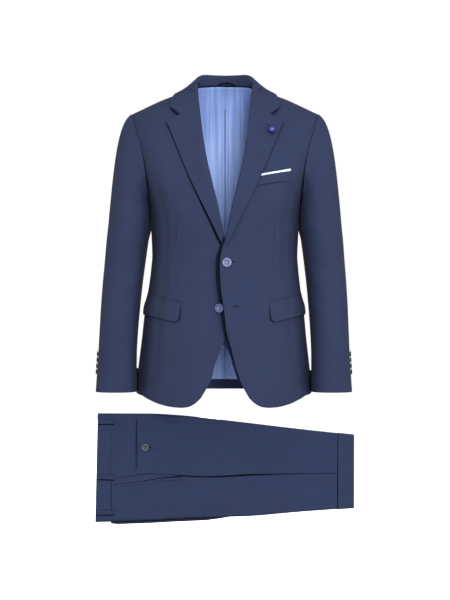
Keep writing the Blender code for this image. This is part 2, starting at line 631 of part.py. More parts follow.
def sleeve(side):
    end = "left" if side > 0 else "right"
    around = np.concatenate([DOWN_FRONT, UNDERARM, UP_BACK])
    front, back = SLEEVE_SEAMS
    over = np.concatenate([UP_BACK[UP_BACK >= back - 1e-9] - 2, DOWN_FRONT[1:], [front]])
    under = around[(around >= front - 1e-9) & (around <= back + 1e-9)]
    sleeve_piece(f"top_sleeve_{end}", side, over)
    sleeve_piece(f"under_sleeve_{end}", side, under)


# ---------------------------------------------------------------- collar and lapels
def raised(point, lift):
    """A point on the shoulders moved out, square to them."""
    across, forward, height = point
    seam = follow(SHOULDER, "across", "back_of_side", abs(across))
    turn = turn_at(across, height, front=bool(forward < seam))
    return point + normals_at(turn, height - 1e-5) * lift


def collar_station(along):
    """Foot of the stand at a station, the ways up and out from it, how high it stands and its fold."""
    base_x, base_z, rise, lean, edge_x, edge_y = (
        float(follow(COLLAR, "along", name, along))
        for name in ("base_x", "base_z", "rise", "lean", "edge_x", "edge_y"))
    back = along < NECK_STATION + 1e-6
    base = body_at(turn_at(base_x, base_z, front=not back), base_z)
    away = np.array([edge_x - base[0], edge_y - base[1], 0.0])
    away = away / np.linalg.norm(away)
    up = np.array([0, 0, rise]) - away * lean
    up = up / np.linalg.norm(up)
    out = away - up * np.dot(away, up)
    out = out / np.linalg.norm(out)
    radius = FOLD_RADIUS - FOLD_TIGHTER * max(0.0, along - NECK_STATION) / (1 - NECK_STATION)
    foot = base + up * STAND_OVER - out * STAND_INSIDE
    edge = raised(body_over(np.array(edge_x), np.array(edge_y)), COLLAR_LIES)
    return foot, up, out, rise, radius, edge


def collar():
    """Stand and fall in one piece, folded over, from the left gorge round the nape to the right."""
    rows = []
    for along in (0, 0.1, 0.2, 0.3, 0.4, 0.48, 0.55, 0.62, 0.7, 0.8, 0.9, 1.0):
        foot, up, out, rise, radius, edge = collar_station(along)
        crown = foot + up * (rise - radius)
        hub = crown + out * radius
        line = [foot, (foot + crown) / 2, crown]
        for angle in (40, 90, 140):
            bend = np.radians(angle)
            line.append(hub - out * radius * np.cos(bend) + up * radius * np.sin(bend))
        last = line[-1]
        lead = last + (out * FALL["out"] - up * FALL["down"]) * np.linalg.norm(edge - last) * FALL["reach"]
        laid = ease((along - NECK_STATION) / FALL_LIES_OVER)
        for t in (0.3, 0.65, 1.0):
            free = (1 - t) ** 2 * last + 2 * t * (1 - t) * lead + t ** 2 * edge
            level = last + (edge - last) * t
            on_front = body_at(turn_at(level[0], level[2]), level[2])
            on_front = raised(on_front, COLLAR_LIES)
            line.append(free + (on_front - free) * laid * (t < 1))
        rows.append(line)
    left_half = np.array(rows)
    outer = np.concatenate([mirrored(left_half[:0:-1], -1), left_half])
    out = grid_normals(outer)
    if out[len(rows) - 1, 4, 2] < 0:
        out = -out
    add_wall("collar", outer, outer - out * COLLAR_WALL, WOOL_LOOK)


def lapel(side):
    """The turned lapel, fuller along its roll and lying on the front."""
    columns = LAPEL_FORM["at"]
    rows = np.linspace(0, 1, 16)
    low = LAPEL_EDGE["height"][0]

    height = low + (GORGE_HEIGHT - SEAM_GAP - low) * rows
    across = follow(ROLL, "height", "across", height) + ROLL_GAP
    if side < 0:
        across = across + LOWER_BREAK * ease((-0.345 - height) / 0.012)
    near = pair(across, height)
    height = low + (LAPEL_TIP[1] - low) * rows
    far = pair(follow(LAPEL_EDGE, "height", "across", height), height)
    bottom = near[0] + (far[0] - near[0]) * columns[:, None]
    notch = np.array(NOTCH)
    corner = LAPEL_CORNER
    gorge = columns[:corner + 1, None] / columns[corner]
    step = (columns[corner + 1:, None] - columns[corner]) / (1 - columns[corner])
    top = np.concatenate([near[-1] + (notch - near[-1]) * gorge, notch + (far[-1] - notch) * step])
    across, height = patch(bottom, top, near, far, columns, rows)
    turn = turn_at(across, height)
    roll = LAPEL_FORM["roll"] * LAPEL_ROLL
    wall = LAPEL_FORM["wall"] * LAPEL_WALL + roll * ROLL_OUTSIDE
    lift = LAID_GAP + roll * ROLL_INSIDE
    inner, out = front_frame(side, turn, height, lift[None] + np.zeros_like(height))
    outer = inner + out * wall[None, :, None]
    for face in (outer, inner):
        face[..., 1] -= SEAM_GAP / 2
    add_wall("lapel_left" if side > 0 else "lapel_right", outer, inner, WOOL_LOOK)


# ---------------------------------------------------------------- pockets
def flap(side):
    """A pocket flap with rounded lower corners, which runs round to the side."""
    share = np.array([0.0, 0.03, 0.10, 0.24, 0.40, 0.56, 0.72, 0.88, 0.97, 1.0])
    along = share * FLAP["length"]
    corner = FLAP["corner"]
    near_end = np.minimum(along, FLAP["length"] - along)
    cut = corner - np.sqrt(np.clip(corner ** 2 - np.clip(corner - near_end, 0, corner) ** 2, 0, None))
    fine = np.linspace(turn_at(FLAP["across"], FLAP["height"]), FLAP["furthest_turn"], 400)
    level = FLAP["height"] + np.zeros_like(fine)
    trail = body_at(fine, level)
    length = np.concatenate([[0], np.cumsum(np.linalg.norm(np.diff(trail, axis=0), axis=1))])
    turn = np.interp(along, length, fine)
    across = np.interp(along, length, trail[:, 0]) - FLAP["across"]
    down = np.linspace(0, 1, 5)[:, None] * (FLAP["drop"] - cut)[None]
    height = FLAP["height"] + FLAP["rise"] * across[None] - down
    turn = turn[None] + np.zeros_like(height)
    base, out = front_frame(side, turn, height, LAID_GAP + ROUND_THE_SIDE_GAP)
    base[..., 1] -= SEAM_GAP / 2
    add_wall("flap_left" if side > 0 else "flap_right", base + out * FLAP_WALL, base, WOOL_LOOK)


def chest_piece(name, low, tall, rows, wall, look):
    """A strip of the breast pocket, from low to low + tall above the welt's lower edge."""
    share = np.linspace(0, 1, 6)
    across = WELT["inner"] + (WELT["outer"] - WELT["inner"]) * share
    floor = WELT["height"] + WELT["rise"] * (across - WELT["inner"])
    rise = low + np.linspace(0, 1, rows)[:, None] * tall
    height = floor[None] + rise
    near = follow(LAPEL_EDGE, "height", "across", height[:, :1]) + WELT["off_lapel"]
    far = WELT["outer"] + WELT["lean"] * (rise - WELT["tall"])
    place = near + (far - near) * share
    inner, out = front_frame(1, turn_at(place, height), height, LAID_GAP)
    inner[..., 1] -= SEAM_GAP / 2
    add_wall(name, inner + out * wall, inner, look)


def breast_pocket():
    """The welt on the left chest and the pocket square that shows above it."""
    chest_piece("breast_welt", 0.0, WELT["tall"], 4, WELT_WALL, WOOL_LOOK)
    chest_piece("pocket_square", WELT["tall"] + SEAM_GAP, SQUARE_SHOWS, 3, SQUARE_WALL, COTTON_LOOK)


# ---------------------------------------------------------------- buttons, pin and loop
def turned(name, centre, axis, profile, segments, look):
    """A closed turned piece. The profile gives (radius, height), from the middle below to that above."""
    axis = np.asarray(axis, float) / np.linalg.norm(axis)
    across = np.cross(axis, [0.0, 0.0, 1.0])
    across = across / np.linalg.norm(across)
    up = np.cross(across, axis)
    points, faces = [centre + axis * profile[0][1]], []
    rings = profile[1:-1]
    for radius, height in rings:
        for k in range(segments):
            angle = 2 * pi * k / segments
            points.append(centre + axis * height + (across * np.cos(angle) + up * np.sin(angle)) * radius)
    points.append(centre + axis * profile[-1][1])
    last = len(points) - 1
    for k in range(segments):
        n = (k + 1) % segments
        faces.append((0, 1 + n, 1 + k))
        for i in range(len(rings) - 1):
            a, b = 1 + i * segments, 1 + (i + 1) * segments
            faces.append((a + k, a + n, b + n, b + k))
        top = 1 + (len(rings) - 1) * segments
        faces.append((last, top + k, top + n))
    return add_mesh(name, points, faces, look)


def button(name, centre, axis, width, segments, look):
    """A four-hole button's body: a domed back, a raised rim and a dished middle."""
    r = width / 2
    thick = width * 0.17
    profile = [(0, 0), (r * 0.65, 0), (r, thick * 0.60), (r * 0.90, thick), (r * 0.60, thick * 0.70),
               (0, thick * 0.60)]
    turned(name, centre, axis, profile, segments, look)


def front_buttons():
    """The upper one is through the left front; the lower one is on the right front, undone."""
    for name, (across, height) in BUTTONS.items():
        side = 1 if name == "upper" else -1
        turn = np.array([turn_at(across * side, height)])
        base, out = front_frame(side, turn, np.array([height]), BUTTON_GAP)
        button(f"front_button_{name}", base[0], out[0], BUTTON_WIDTH, 16, PEARL_LOOK)


def cuff_buttons(side):
    end = "left" if side > 0 else "right"
    for k in range(CUFF_BUTTONS["count"]):
        height = CUFF_BUTTONS["lowest"] + CUFF_BUTTONS["pitch"] * k
        point = sleeve_ring(height, np.array([0.0]))[0] + np.array([BUTTON_GAP, 0, 0])
        button(f"cuff_button_{end}_{k + 1}", mirrored(point, side), (side, 0, 0.05),
               CUFF_BUTTON_WIDTH, 10, HORN_LOOK)


def lapel_pin():
    """A plain ball on a short stud, worn on the left lapel."""
    turn = np.array([turn_at(PIN["across"], PIN["height"])])
    base, out = front_frame(1, turn, np.array([PIN["height"]]), PIN["lift"])
    r, stud = PIN["ball"], PIN["stud"]
    centre = stud + r * 0.8            # of the ball, which the stud enters
    profile = [(0, 0), (r * 0.55, 0), (r * 0.55, stud)]
    for angle in (-52, -25, 0, 25, 50, 72):
        bend = np.radians(angle)
        profile.append((r * np.cos(bend), centre + r * np.sin(bend)))
    profile.append((0, centre + r))
    turned("lapel_pin", base[0], out[0], profile, 14, PIN_LOOK)


def hanger_loop():
    """The loop at the nape, sewn on inside the collar's stand."""
    per_station = COLLAR["along"][1] / COLLAR["base_x"][1]
    path = []
    for t in np.linspace(0, 1, 9):
        x = LOOP["middle"] + LOOP["half"] * (2 * t - 1)
        foot, up, out = collar_station(abs(x) * per_station)[:3]
        foot[0] = x
        rise = LOOP["low"] + LOOP["rise"] * np.sin(pi * t) ** 0.8
        path.append(foot + up * rise - out * [0, LOOP["off_collar"], 0])
    path = np.array(path)
    along = np.gradient(path, axis=0)
    along = along / np.linalg.norm(along, axis=1, keepdims=True)
    toward = np.array([0.0, -1.0, 0.0])
    wide = np.cross(along, toward) * LOOP["wide"] / 2
    inner = np.stack([path + wide, path - wide], axis=1)
    add_wall("hanger_loop", inner + toward * LOOP["wall"], inner, WOOL_LOOK)


# ---------------------------------------------------------------- trousers
FOLD_ANGLES = (35, 75, 115, 150, 180)


def packet_at(across, name):
    return float(follow(PACKET, "across", name, across))


def crease(half, edge, part):
    """The near leg's turn over a crease: its points in section and where the flat side ends.

    part is +1 at the upper crease (back of the trousers) and -1 at the lower one (front).
    """
    radius = (half - FOLD_SPACE) / 2
    stop = edge - part * radius
    bend = np.radians(FOLD_ANGLES)
    line = np.stack([-half + radius - radius * np.cos(bend), stop + part * radius * np.sin(bend)], axis=-1)
    return line, stop


def flat_side(half, start, stop, steps):
    return np.stack([np.full(steps, -half), np.linspace(start, stop, steps)], axis=-1)


def section(across, line):
    """Points in section, placed at a station along the packet."""
    return np.insert(line, 0, across, axis=1)


def leg_line(across, lift, near, part):
    """One leg panel's section: from the side seam over its crease to the fold inside."""
    half = packet_at(across, "half") + lift
    edge = packet_at(across, "upper" if part > 0 else "lower") + part * lift
    if part < 0 and not near:
        coming = ease((across - UNDER_LEG["starts"]) / (UNDER_LEG["full_from"] - UNDER_LEG["starts"]))
        going = ease((UNDER_LEG["ends"] - across) / (UNDER_LEG["ends"] - UNDER_LEG["full_to"]))
        edge -= UNDER_LEG["shows"] * float(coming * going)
    turn, stop = crease(half, edge, part)
    start = packet_at(across, "seam") + part * SEAM_GAP / 2
    line = np.concatenate([flat_side(half, start, stop, 4), turn])
    return section(across, line * [1 if near else -1, 1])


def leg_panel(name, near, part):
    stations = np.linspace(WAIST_END + WAIST_BAND + SEAM_GAP, LEG_END - TURN_UP - SEAM_GAP, 11)
    walls = [np.array([leg_line(x, lift, near, part) for x in stations]) for lift in (0.0, -LEG_WALL)]
    add_wall(name, *walls, TROUSER_LOOK)


def band_line(across, lift):
    """The waistband's section: up the near side, over the centre back and down the far side."""
    half = packet_at(across, "half") + lift
    upper = packet_at(across, "upper") + lift
    turn, stop = crease(half, packet_at(across, "lower") - lift, -1)
    bend = np.radians((30, 60, 90))
    top = np.stack([-half * np.cos(bend), upper - half + half * np.sin(bend)], axis=-1)
    line = np.concatenate([turn[::-1], flat_side(half, stop, upper - half, 5), top])
    return section(across, np.concatenate([line, line[-2::-1] * [-1, 1]]))


def turn_up_line(across, lift):
    """A turn-up's section: from the fold inside, over both creases, to the fold inside again."""
    half = packet_at(across, "half") + lift
    low_turn, low_stop = crease(half, packet_at(across, "lower") - lift, -1)
    high_turn, high_stop = crease(half, packet_at(across, "upper") + lift, 1)
    line = np.concatenate([low_turn[::-1], flat_side(half, low_stop, high_stop, 5), high_turn])
    return section(across, line)


def waistband():
    stations = np.linspace(WAIST_END, WAIST_END + WAIST_BAND, 4)
    lifts = BAND_STANDS, BAND_STANDS - BAND_WALL
    walls = [np.array([band_line(x, lift) for x in stations]) for lift in lifts]
    add_wall("waistband", *walls, TROUSER_LOOK)


def turn_up(name, near):
    stations = np.linspace(LEG_END - TURN_UP, LEG_END, 4)
    face = np.array([1, 1 if near else -1, 1])
    walls = []
    for lift in (TURN_UP_STANDS, TURN_UP_STANDS - TURN_UP_WALL):
        walls.append(np.array([turn_up_line(x, lift) for x in stations]) * face)
    add_wall(name, *walls, TROUSER_LOOK)


def inner_layers():
    """The rest of both legs, folded away inside: one rounded solid."""
    stations = np.linspace(WAIST_END + INNER["ends"], LEG_END - INNER["ends"], 12)
    rows = []
    for x in stations:
        half = packet_at(x, "half") - LEG_WALL - SEAM_GAP
        inset = INNER["edges"] + half * INNER["edges_share"]
        upper, lower = packet_at(x, "upper") - inset, packet_at(x, "lower") + inset
        radius = half * INNER["round_share"]
        for y, z, turn in ((half, upper, 0), (-half, upper, 90), (-half, lower, 180), (half, lower, 270)):
            hub_y, hub_z = y - np.sign(y) * radius, z - (radius if turn < 180 else -radius)
            bend = np.radians([turn, turn + 45, turn + 90])
            corner = np.stack([hub_y + radius * np.cos(bend), hub_z + radius * np.sin(bend)], axis=-1)
            rows.append(section(x, corner))
    points = np.concatenate(rows)
    count = len(points) // len(stations)
    faces = []
    for i in range(len(stations) - 1):
        for j in range(count):
            k = (j + 1) % count
            faces.append((i * count + j, i * count + k, (i + 1) * count + k, (i + 1) * count + j))
    faces.append(tuple(range(count)))
    faces.append(tuple((len(stations) - 1) * count + j for j in range(count)))
    add_mesh("inner_layers", points, faces, TROUSER_LOOK)


def laid_strip(name, near, low, high, lift, wall):
    """A thin piece on a flat side of the packet, between two lines of (across, height)."""
    rows = np.linspace(0, 1, 2 if len(low) > 3 else 3)[:, None, None]
    flat = np.array(low)[None] * (1 - rows) + np.array(high)[None] * rows
    half = follow(PACKET, "across", "half", flat[..., 0]) + lift
    face = -1 if near else 1
    walls = [np.stack([flat[..., 0], face * (half + out), flat[..., 1]], axis=-1) for out in (wall, 0.0)]
    add_wall(name, *walls, TROUSER_LOOK)


def belt_loops(end, near):
    band_end = WAIST_END + WAIST_BAND + BELT_LOOPS["past_band"]
    places = np.linspace(WAIST_END + BELT_LOOPS["inset"], band_end, 4)
    for k, height in enumerate(BELT_LOOPS["heights"]):
        low = pair(places, height - BELT_LOOPS["wide"] / 2)
        high = pair(places, height + BELT_LOOPS["wide"] / 2)
        laid_strip(f"belt_loop_{end}_{k + 1}", near, low, high, BAND_STANDS + LAID_GAP, BELT_LOOPS["wall"])


def back_pocket(end, near):
    across, wide = BACK_JETS["across"], BACK_JETS["wide"]
    ends = BACK_JETS["bottom"], BACK_JETS["top"]
    low, high = [[(across, z), (across + wide / 2, z), (across + wide, z)] for z in ends]
    laid_strip(f"back_pocket_jets_{end}", near, low, high, SEAM_GAP, BACK_JETS["wall"])
    face = -1 if near else 1
    across, height = BACK_BUTTON
    centre = np.array([across, face * (packet_at(across, "half") + BUTTON_GAP), height])
    button(f"back_pocket_button_{end}", centre, (0, face, 0), TROUSER_BUTTON_WIDTH, 14, HORN_LOOK)


def pocket_mouth(end, near):
    """The turned edge of a slanted front pocket."""
    places = np.linspace(POCKET_MOUTH["across"][0], POCKET_MOUTH["across"][-1], 7)
    line = follow(POCKET_MOUTH, "across", "height", places)
    low, high = pair(places, line - MOUTH_EDGE), pair(places, line)
    laid_strip(f"front_pocket_edge_{end}", near, low, high, SEAM_GAP, MOUTH_WALL)


def trousers():
    for end, near in (("left", True), ("right", False)):
        leg_panel(f"leg_back_{end}", near, 1)
        leg_panel(f"leg_front_{end}", near, -1)
        turn_up(f"turn_up_{end}", near)
        belt_loops(end, near)
        back_pocket(end, near)
        pocket_mouth(end, near)
    waistband()
    inner_layers()


def jacket():
    for side in (1, -1):
        front_panel(side)
        side_panel(side)
        back_panel(side)
        lining_panel(side)
        sleeve(side)
        lapel(side)
        flap(side)
        cuff_buttons(side)
    collar()
    breast_pocket()
    front_buttons()
    lapel_pin()
    hanger_loop()


jacket()
jacket_pieces = list(bpy.data.objects)
move_points(jacket_pieces, left_nearer)
trousers()
move_points([piece for piece in bpy.data.objects if piece not in jacket_pieces], lean_waist)
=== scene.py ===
from math import pi, radians, sqrt

import bpy
import numpy as np
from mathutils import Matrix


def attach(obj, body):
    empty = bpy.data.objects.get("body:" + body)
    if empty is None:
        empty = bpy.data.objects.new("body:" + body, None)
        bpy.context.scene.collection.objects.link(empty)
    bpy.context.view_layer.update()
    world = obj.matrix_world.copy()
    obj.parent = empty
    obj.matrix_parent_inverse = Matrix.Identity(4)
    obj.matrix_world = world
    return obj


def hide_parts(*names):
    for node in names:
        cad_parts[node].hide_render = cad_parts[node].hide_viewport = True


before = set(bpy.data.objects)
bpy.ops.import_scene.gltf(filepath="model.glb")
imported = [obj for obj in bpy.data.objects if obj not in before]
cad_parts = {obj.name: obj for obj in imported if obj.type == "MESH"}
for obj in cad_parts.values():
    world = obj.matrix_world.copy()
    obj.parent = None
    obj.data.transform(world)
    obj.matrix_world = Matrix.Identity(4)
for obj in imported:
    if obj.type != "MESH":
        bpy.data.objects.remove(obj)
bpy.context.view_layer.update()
print("frame loaded")


# ---- colours and nodes
def linear(code):
    parts = [int(code[i:i + 2], 16) / 255 for i in (1, 3, 5)]
    return [c / 12.92 if c <= 0.04045 else ((c + 0.055) / 1.055) ** 2.4 for c in parts] + [1.0]


def addNode(tree, kind, settings=None, values=None, links=None):
    node = tree.nodes.new(kind)
    for name, value in (settings or {}).items():
        setattr(node, name, value)
    for name, value in (values or {}).items():
        node.inputs[name].default_value = value
    for name, (source, output) in (links or {}).items():
        tree.links.new(source.outputs[output], node.inputs[name])
    return node


def newMaterial(name, **sockets):
    material = bpy.data.materials.new(name)
    material.use_nodes = True
    shader = material.node_tree.nodes["Principled BSDF"]
    for socket, value in sockets.items():
        shader.inputs[socket.replace("_", " ")].default_value = value
    return material, material.node_tree, shader


def shadeBetween(tree, share, first, second):
    return addNode(tree, "ShaderNodeMix", {"data_type": "RGBA"},
                   {"A": linear(first), "B": linear(second)}, {"Factor": share})


# Worsted wool, woven as a fine 2/2 twill and pressed. It gives the eye a matt navy, slightly mixed
# from blue and grey-violet fibres, with a faint diagonal and a little bloom where it turns away.
# In both worsteds, "deep" is the colour of painted shade in creases and under edges.
jacketWool = {"dark": "#1e263b", "light": "#343d5c", "warm": "#302c48", "roughness": 0.90, "sheen": 0.04,
              "twillMm": 1.5,        # real ribs are 0.5 mm apart; drawn three times as coarse to show
              "fibreMm": 0.9, "mottleMm": 55.0, "bump": 0.16, "creaseShadeMm": 60.0, "deep": "#0b1533"}
# The trousers' worsted is the jacket's drawn a little lighter: painted light, for the brighter light that falls on
# them.
trouserWool = {"dark": "#1f2840", "light": "#333f5f", "warm": "#332d48", "roughness": 0.90, "sheen": 0.04,
               "twillMm": 1.5, "fibreMm": 0.9, "mottleMm": 55.0, "bump": 0.14, "creaseShadeMm": 20.0, "deep": "#0b1533"}


def woolTwill(name, look):
    material, tree, shader = newMaterial(name, Roughness=look["roughness"], Sheen_Weight=look["sheen"],
                                         Sheen_Roughness=0.5, Specular_IOR_Level=0.15)
    place = addNode(tree, "ShaderNodeAttribute", {"attribute_name": "clothPlace"})
    rib = addNode(tree, "ShaderNodeTexWave", {"bands_direction": "DIAGONAL"},
                  {"Scale": 2 * pi / (10 * look["twillMm"] / 1000 * sqrt(2)), "Distortion": 1.2,
                   "Detail": 1.0, "Detail Scale": 2.0}, {"Vector": (place, "Vector")})
    fibre = addNode(tree, "ShaderNodeTexNoise", None, {"Scale": 1000 / look["fibreMm"], "Detail": 3.0},
                    {"Vector": (place, "Vector")})
    slub = addNode(tree, "ShaderNodeMapping", None, {"Scale": (260, 60, 60)}, {"Vector": (place, "Vector")})
    slubs = addNode(tree, "ShaderNodeTexNoise", None, {"Scale": 1.0, "Detail": 2.0}, {"Vector": (slub, "Vector")})
    mottle = addNode(tree, "ShaderNodeTexNoise", None, {"Scale": 1000 / look["mottleMm"], "Detail": 2.0})
    coordinates = addNode(tree, "ShaderNodeTexCoord")
    tree.links.new(coordinates.outputs["Object"], mottle.inputs["Vector"])
    weave = addNode(tree, "ShaderNodeMath", {"operation": "MULTIPLY_ADD"}, {1: 0.22, 2: 0.10}, {0: (rib, "Fac")})
    weave = addNode(tree, "ShaderNodeMath", {"operation": "MULTIPLY_ADD"}, {1: 0.50}, {0: (fibre, "Fac"), 2: (weave, 0)})
    weave = addNode(tree, "ShaderNodeMath", {"operation": "MULTIPLY_ADD"}, {1: 0.28}, {0: (slubs, "Fac"), 2: (weave, 0)})
    yarn = shadeBetween(tree, (weave, 0), look["dark"], look["light"])
    warmth = addNode(tree, "ShaderNodeMapRange", None,
                     {"From Min": 0.50, "From Max": 0.72, "To Max": 0.22}, {"Value": (mottle, "Fac")})
    cloth = addNode(tree, "ShaderNodeMix", {"data_type": "RGBA"}, {"B": linear(look["warm"])},
                    {"Factor": (warmth, "Result"), "A": (yarn, "Result")})
    # painted shade: deep in creases, between the sleeve and the body and under edges, ambient occlusion mixes the cloth
    # towards its dark "deep" colour
    creaseOcclusion = addNode(tree, "ShaderNodeAmbientOcclusion", {"samples": 6}, {"Distance": look["creaseShadeMm"] / 1000})
    depth = addNode(tree, "ShaderNodeMapRange", None, {"From Min": 0.34, "From Max": 0.88, "To Min": 0.12}, {"Value": (creaseOcclusion, "AO")})
    shaded = addNode(tree, "ShaderNodeMix", {"data_type": "RGBA"}, {"A": linear(look["deep"])},
                     {"B": (cloth, "Result"), "Factor": (depth, "Result")})
    tree.links.new(shaded.outputs["Result"], shader.inputs["Base Color"])
    height = addNode(tree, "ShaderNodeMath", {"operation": "MULTIPLY_ADD"}, {1: 0.6}, {0: (rib, "Fac"), 2: (fibre, "Fac")})
    bump = addNode(tree, "ShaderNodeBump", None, {"Strength": look["bump"], "Distance": 0.0004}, {"Height": (height, 0)})
    tree.links.new(bump.outputs["Normal"], shader.inputs["Normal"])
    return material


# Viscose satin, woven smooth with floating threads along its length. It gives the eye a light blue with long soft
# streaks of shine and shade, painted into its colour.
liningSatin = {"pale": "#a2bcf2", "mid": "#90abe6", "deep": "#7d99da", "roughness": 0.48,
               "streakMm": 9.0, "threadMm": 0.5}

# A darker copy of the lining satin: painted shade, for lining seen deep in the opening.
shadedSatin = {"pale": "#40568a", "mid": "#36497c", "deep": "#2c3d6c", "roughness": 0.55,
               "streakMm": 9.0, "threadMm": 0.5}


def satin(name, look):
    material, tree, shader = newMaterial(name, Roughness=look["roughness"], Sheen_Weight=0.08,
                                         Sheen_Roughness=0.3, Specular_IOR_Level=0.30)
    place = addNode(tree, "ShaderNodeAttribute", {"attribute_name": "clothPlace"})
    across = 1000 / look["streakMm"]
    wide = addNode(tree, "ShaderNodeMapping", None, {"Scale": (across, across * 0.05, 1)}, {"Vector": (place, "Vector")})
    fine = addNode(tree, "ShaderNodeMapping", None, {"Scale": (across * 3, across * 0.06, 1)}, {"Vector": (place, "Vector")})
    streaks = addNode(tree, "ShaderNodeTexNoise", None, {"Scale": 1.0, "Detail": 2.0}, {"Vector": (wide, "Vector")})
    lines = addNode(tree, "ShaderNodeTexNoise", None, {"Scale": 1.0, "Detail": 2.0}, {"Vector": (fine, "Vector")})
    thread = addNode(tree, "ShaderNodeTexWave", {"bands_direction": "X"},
                     {"Scale": 2 * pi / (20 * look["threadMm"] / 1000)}, {"Vector": (place, "Vector")})
    share = addNode(tree, "ShaderNodeMath", {"operation": "MULTIPLY_ADD"}, {1: 0.45, 2: -0.05}, {0: (lines, "Fac")})
    share = addNode(tree, "ShaderNodeMath", {"operation": "MULTIPLY_ADD"}, {1: 1.15}, {0: (streaks, "Fac"), 2: (share, 0)})
    ramp = addNode(tree, "ShaderNodeValToRGB", None, None, {"Fac": (share, 0)})
    stops = ramp.color_ramp.elements
    stops[0].position, stops[0].color = 0.50, linear(look["deep"])
    stops[1].position, stops[1].color = 0.98, linear(look["pale"])
    middle = stops.new(0.72)
    middle.color = linear(look["mid"])
    tree.links.new(ramp.outputs["Color"], shader.inputs["Base Color"])
    bump = addNode(tree, "ShaderNodeBump", None, {"Strength": 0.10, "Distance": 0.0002}, {"Height": (thread, "Fac")})
    tree.links.new(bump.outputs["Normal"], shader.inputs["Normal"])
    return material


# Cast polyester button, pearled while it set, then turned and polished. It gives the eye a blue-grey
# with lighter swirls under a clear gloss.
pearlCast = {"deep": "#2b3668", "light": "#44528a", "roughness": 0.50, "coat": 0.15, "specular": 0.4, "swirlMm": 9.0}
# A paler copy for the upper button: painted light, for the brighter light it sits in.
litPearlCast = {"deep": "#464e80", "light": "#6f78a4", "roughness": 0.50, "coat": 0.15, "specular": 0.4, "swirlMm": 5.0}
# Its rim is turned through to the paler pearl.
pearlRim = {"deep": "#7c84a6", "light": "#a0a8c4", "roughness": 0.50, "coat": 0.15, "specular": 0.4, "swirlMm": 9.0}
# A darker copy of that rim for the lower button: painted shade, for the shade it sits in beside the covering edge.
shadedPearlRim = {"deep": "#3c4464", "light": "#565f7e", "roughness": 0.50, "coat": 0.15, "specular": 0.4, "swirlMm": 9.0}
# The same casting without the pearl, dyed dark navy, on the cuffs.
darkCast = {"deep": "#0e1220", "light": "#181d2e", "roughness": 0.85, "coat": 0.0, "specular": 0.08, "swirlMm": 5.0}
# Grey horn-like casting with a paler rim, on the back pockets.
greyCast = {"deep": "#28323c", "light": "#3e4954", "roughness": 0.55, "coat": 0.1, "specular": 0.3, "swirlMm": 5.0}
greyRim = {"deep": "#5c6870", "light": "#79848a", "roughness": 0.55, "coat": 0.1, "specular": 0.3, "swirlMm": 5.0}


def castPolyester(name, look):
    material, tree, shader = newMaterial(name, Roughness=look["roughness"], Coat_Weight=look["coat"],
                                         Coat_Roughness=0.30, IOR=1.52, Specular_IOR_Level=look["specular"])
    coordinates = addNode(tree, "ShaderNodeTexCoord")
    swirl = addNode(tree, "ShaderNodeTexNoise", None,
                    {"Scale": 1000 / look["swirlMm"], "Detail": 3.0, "Distortion": 1.8}, {"Vector": (coordinates, "Object")})
    share = addNode(tree, "ShaderNodeMapRange", None, {"From Min": 0.35, "From Max": 0.68}, {"Value": (swirl, "Fac")})
    colour = shadeBetween(tree, (share, "Result"), look["deep"], look["light"])
    tree.links.new(colour.outputs["Result"], shader.inputs["Base Color"])
    return material


# Cotton poplin, plain woven and ironed: a clean matt white with a barely seen grid of threads.
poplin = {"white": "#f4f5f8", "shade": "#dfe3ec", "threadMm": 0.6}


def cottonPoplin(name, look):
    material, tree, shader = newMaterial(name, Roughness=0.8, Sheen_Weight=0.1)
    place = addNode(tree, "ShaderNodeAttribute", {"attribute_name": "clothPlace"})
    scale = 2 * pi / (20 * look["threadMm"] / 1000)
    warp = addNode(tree, "ShaderNodeTexWave", {"bands_direction": "X"}, {"Scale": scale}, {"Vector": (place, "Vector")})
    weft = addNode(tree, "ShaderNodeTexWave", {"bands_direction": "Y"}, {"Scale": scale}, {"Vector": (place, "Vector")})
    grid = addNode(tree, "ShaderNodeMath", {"operation": "MULTIPLY"}, None, {0: (warp, "Fac"), 1: (weft, "Fac")})
    colour = shadeBetween(tree, (grid, 0), look["shade"], look["white"])
    tree.links.new(colour.outputs["Result"], shader.inputs["Base Color"])
    bump = addNode(tree, "ShaderNodeBump", None, {"Strength": 0.1, "Distance": 0.0002}, {"Height": (grid, 0)})
    tree.links.new(bump.outputs["Normal"], shader.inputs["Normal"])
    return material


# Stove enamel on a brass ball: deep blue under glass, with a sharp white highlight.
enamel = {"deep": "#1c1c6e", "light": "#4646a8", "cloudMm": 3.0}


def stoveEnamel(name, look):
    material, tree, shader = newMaterial(name, Roughness=0.18, Coat_Weight=1.0, Coat_Roughness=0.04)
    coordinates = addNode(tree, "ShaderNodeTexCoord")
    cloud = addNode(tree, "ShaderNodeTexNoise", None, {"Scale": 1000 / look["cloudMm"], "Detail": 2.0},
                    {"Vector": (coordinates, "Object")})
    colour = shadeBetween(tree, (cloud, "Fac"), look["deep"], look["light"])
    tree.links.new(colour.outputs["Result"], shader.inputs["Base Color"])
    return material


# Twisted polyester sewing thread, a shade deeper or lighter than the cloth: a soft satin line with a slanted twist,
# drawn as lighter bands of painted highlight.
sewingThread = {"navy": "#2a3352", "twistMm": 0.5}
# A near-black copy for the plugs in the buttons' holes: partly the thread in them, partly painted shade.
darkThread = {"navy": "#10131f", "twistMm": 0.5}


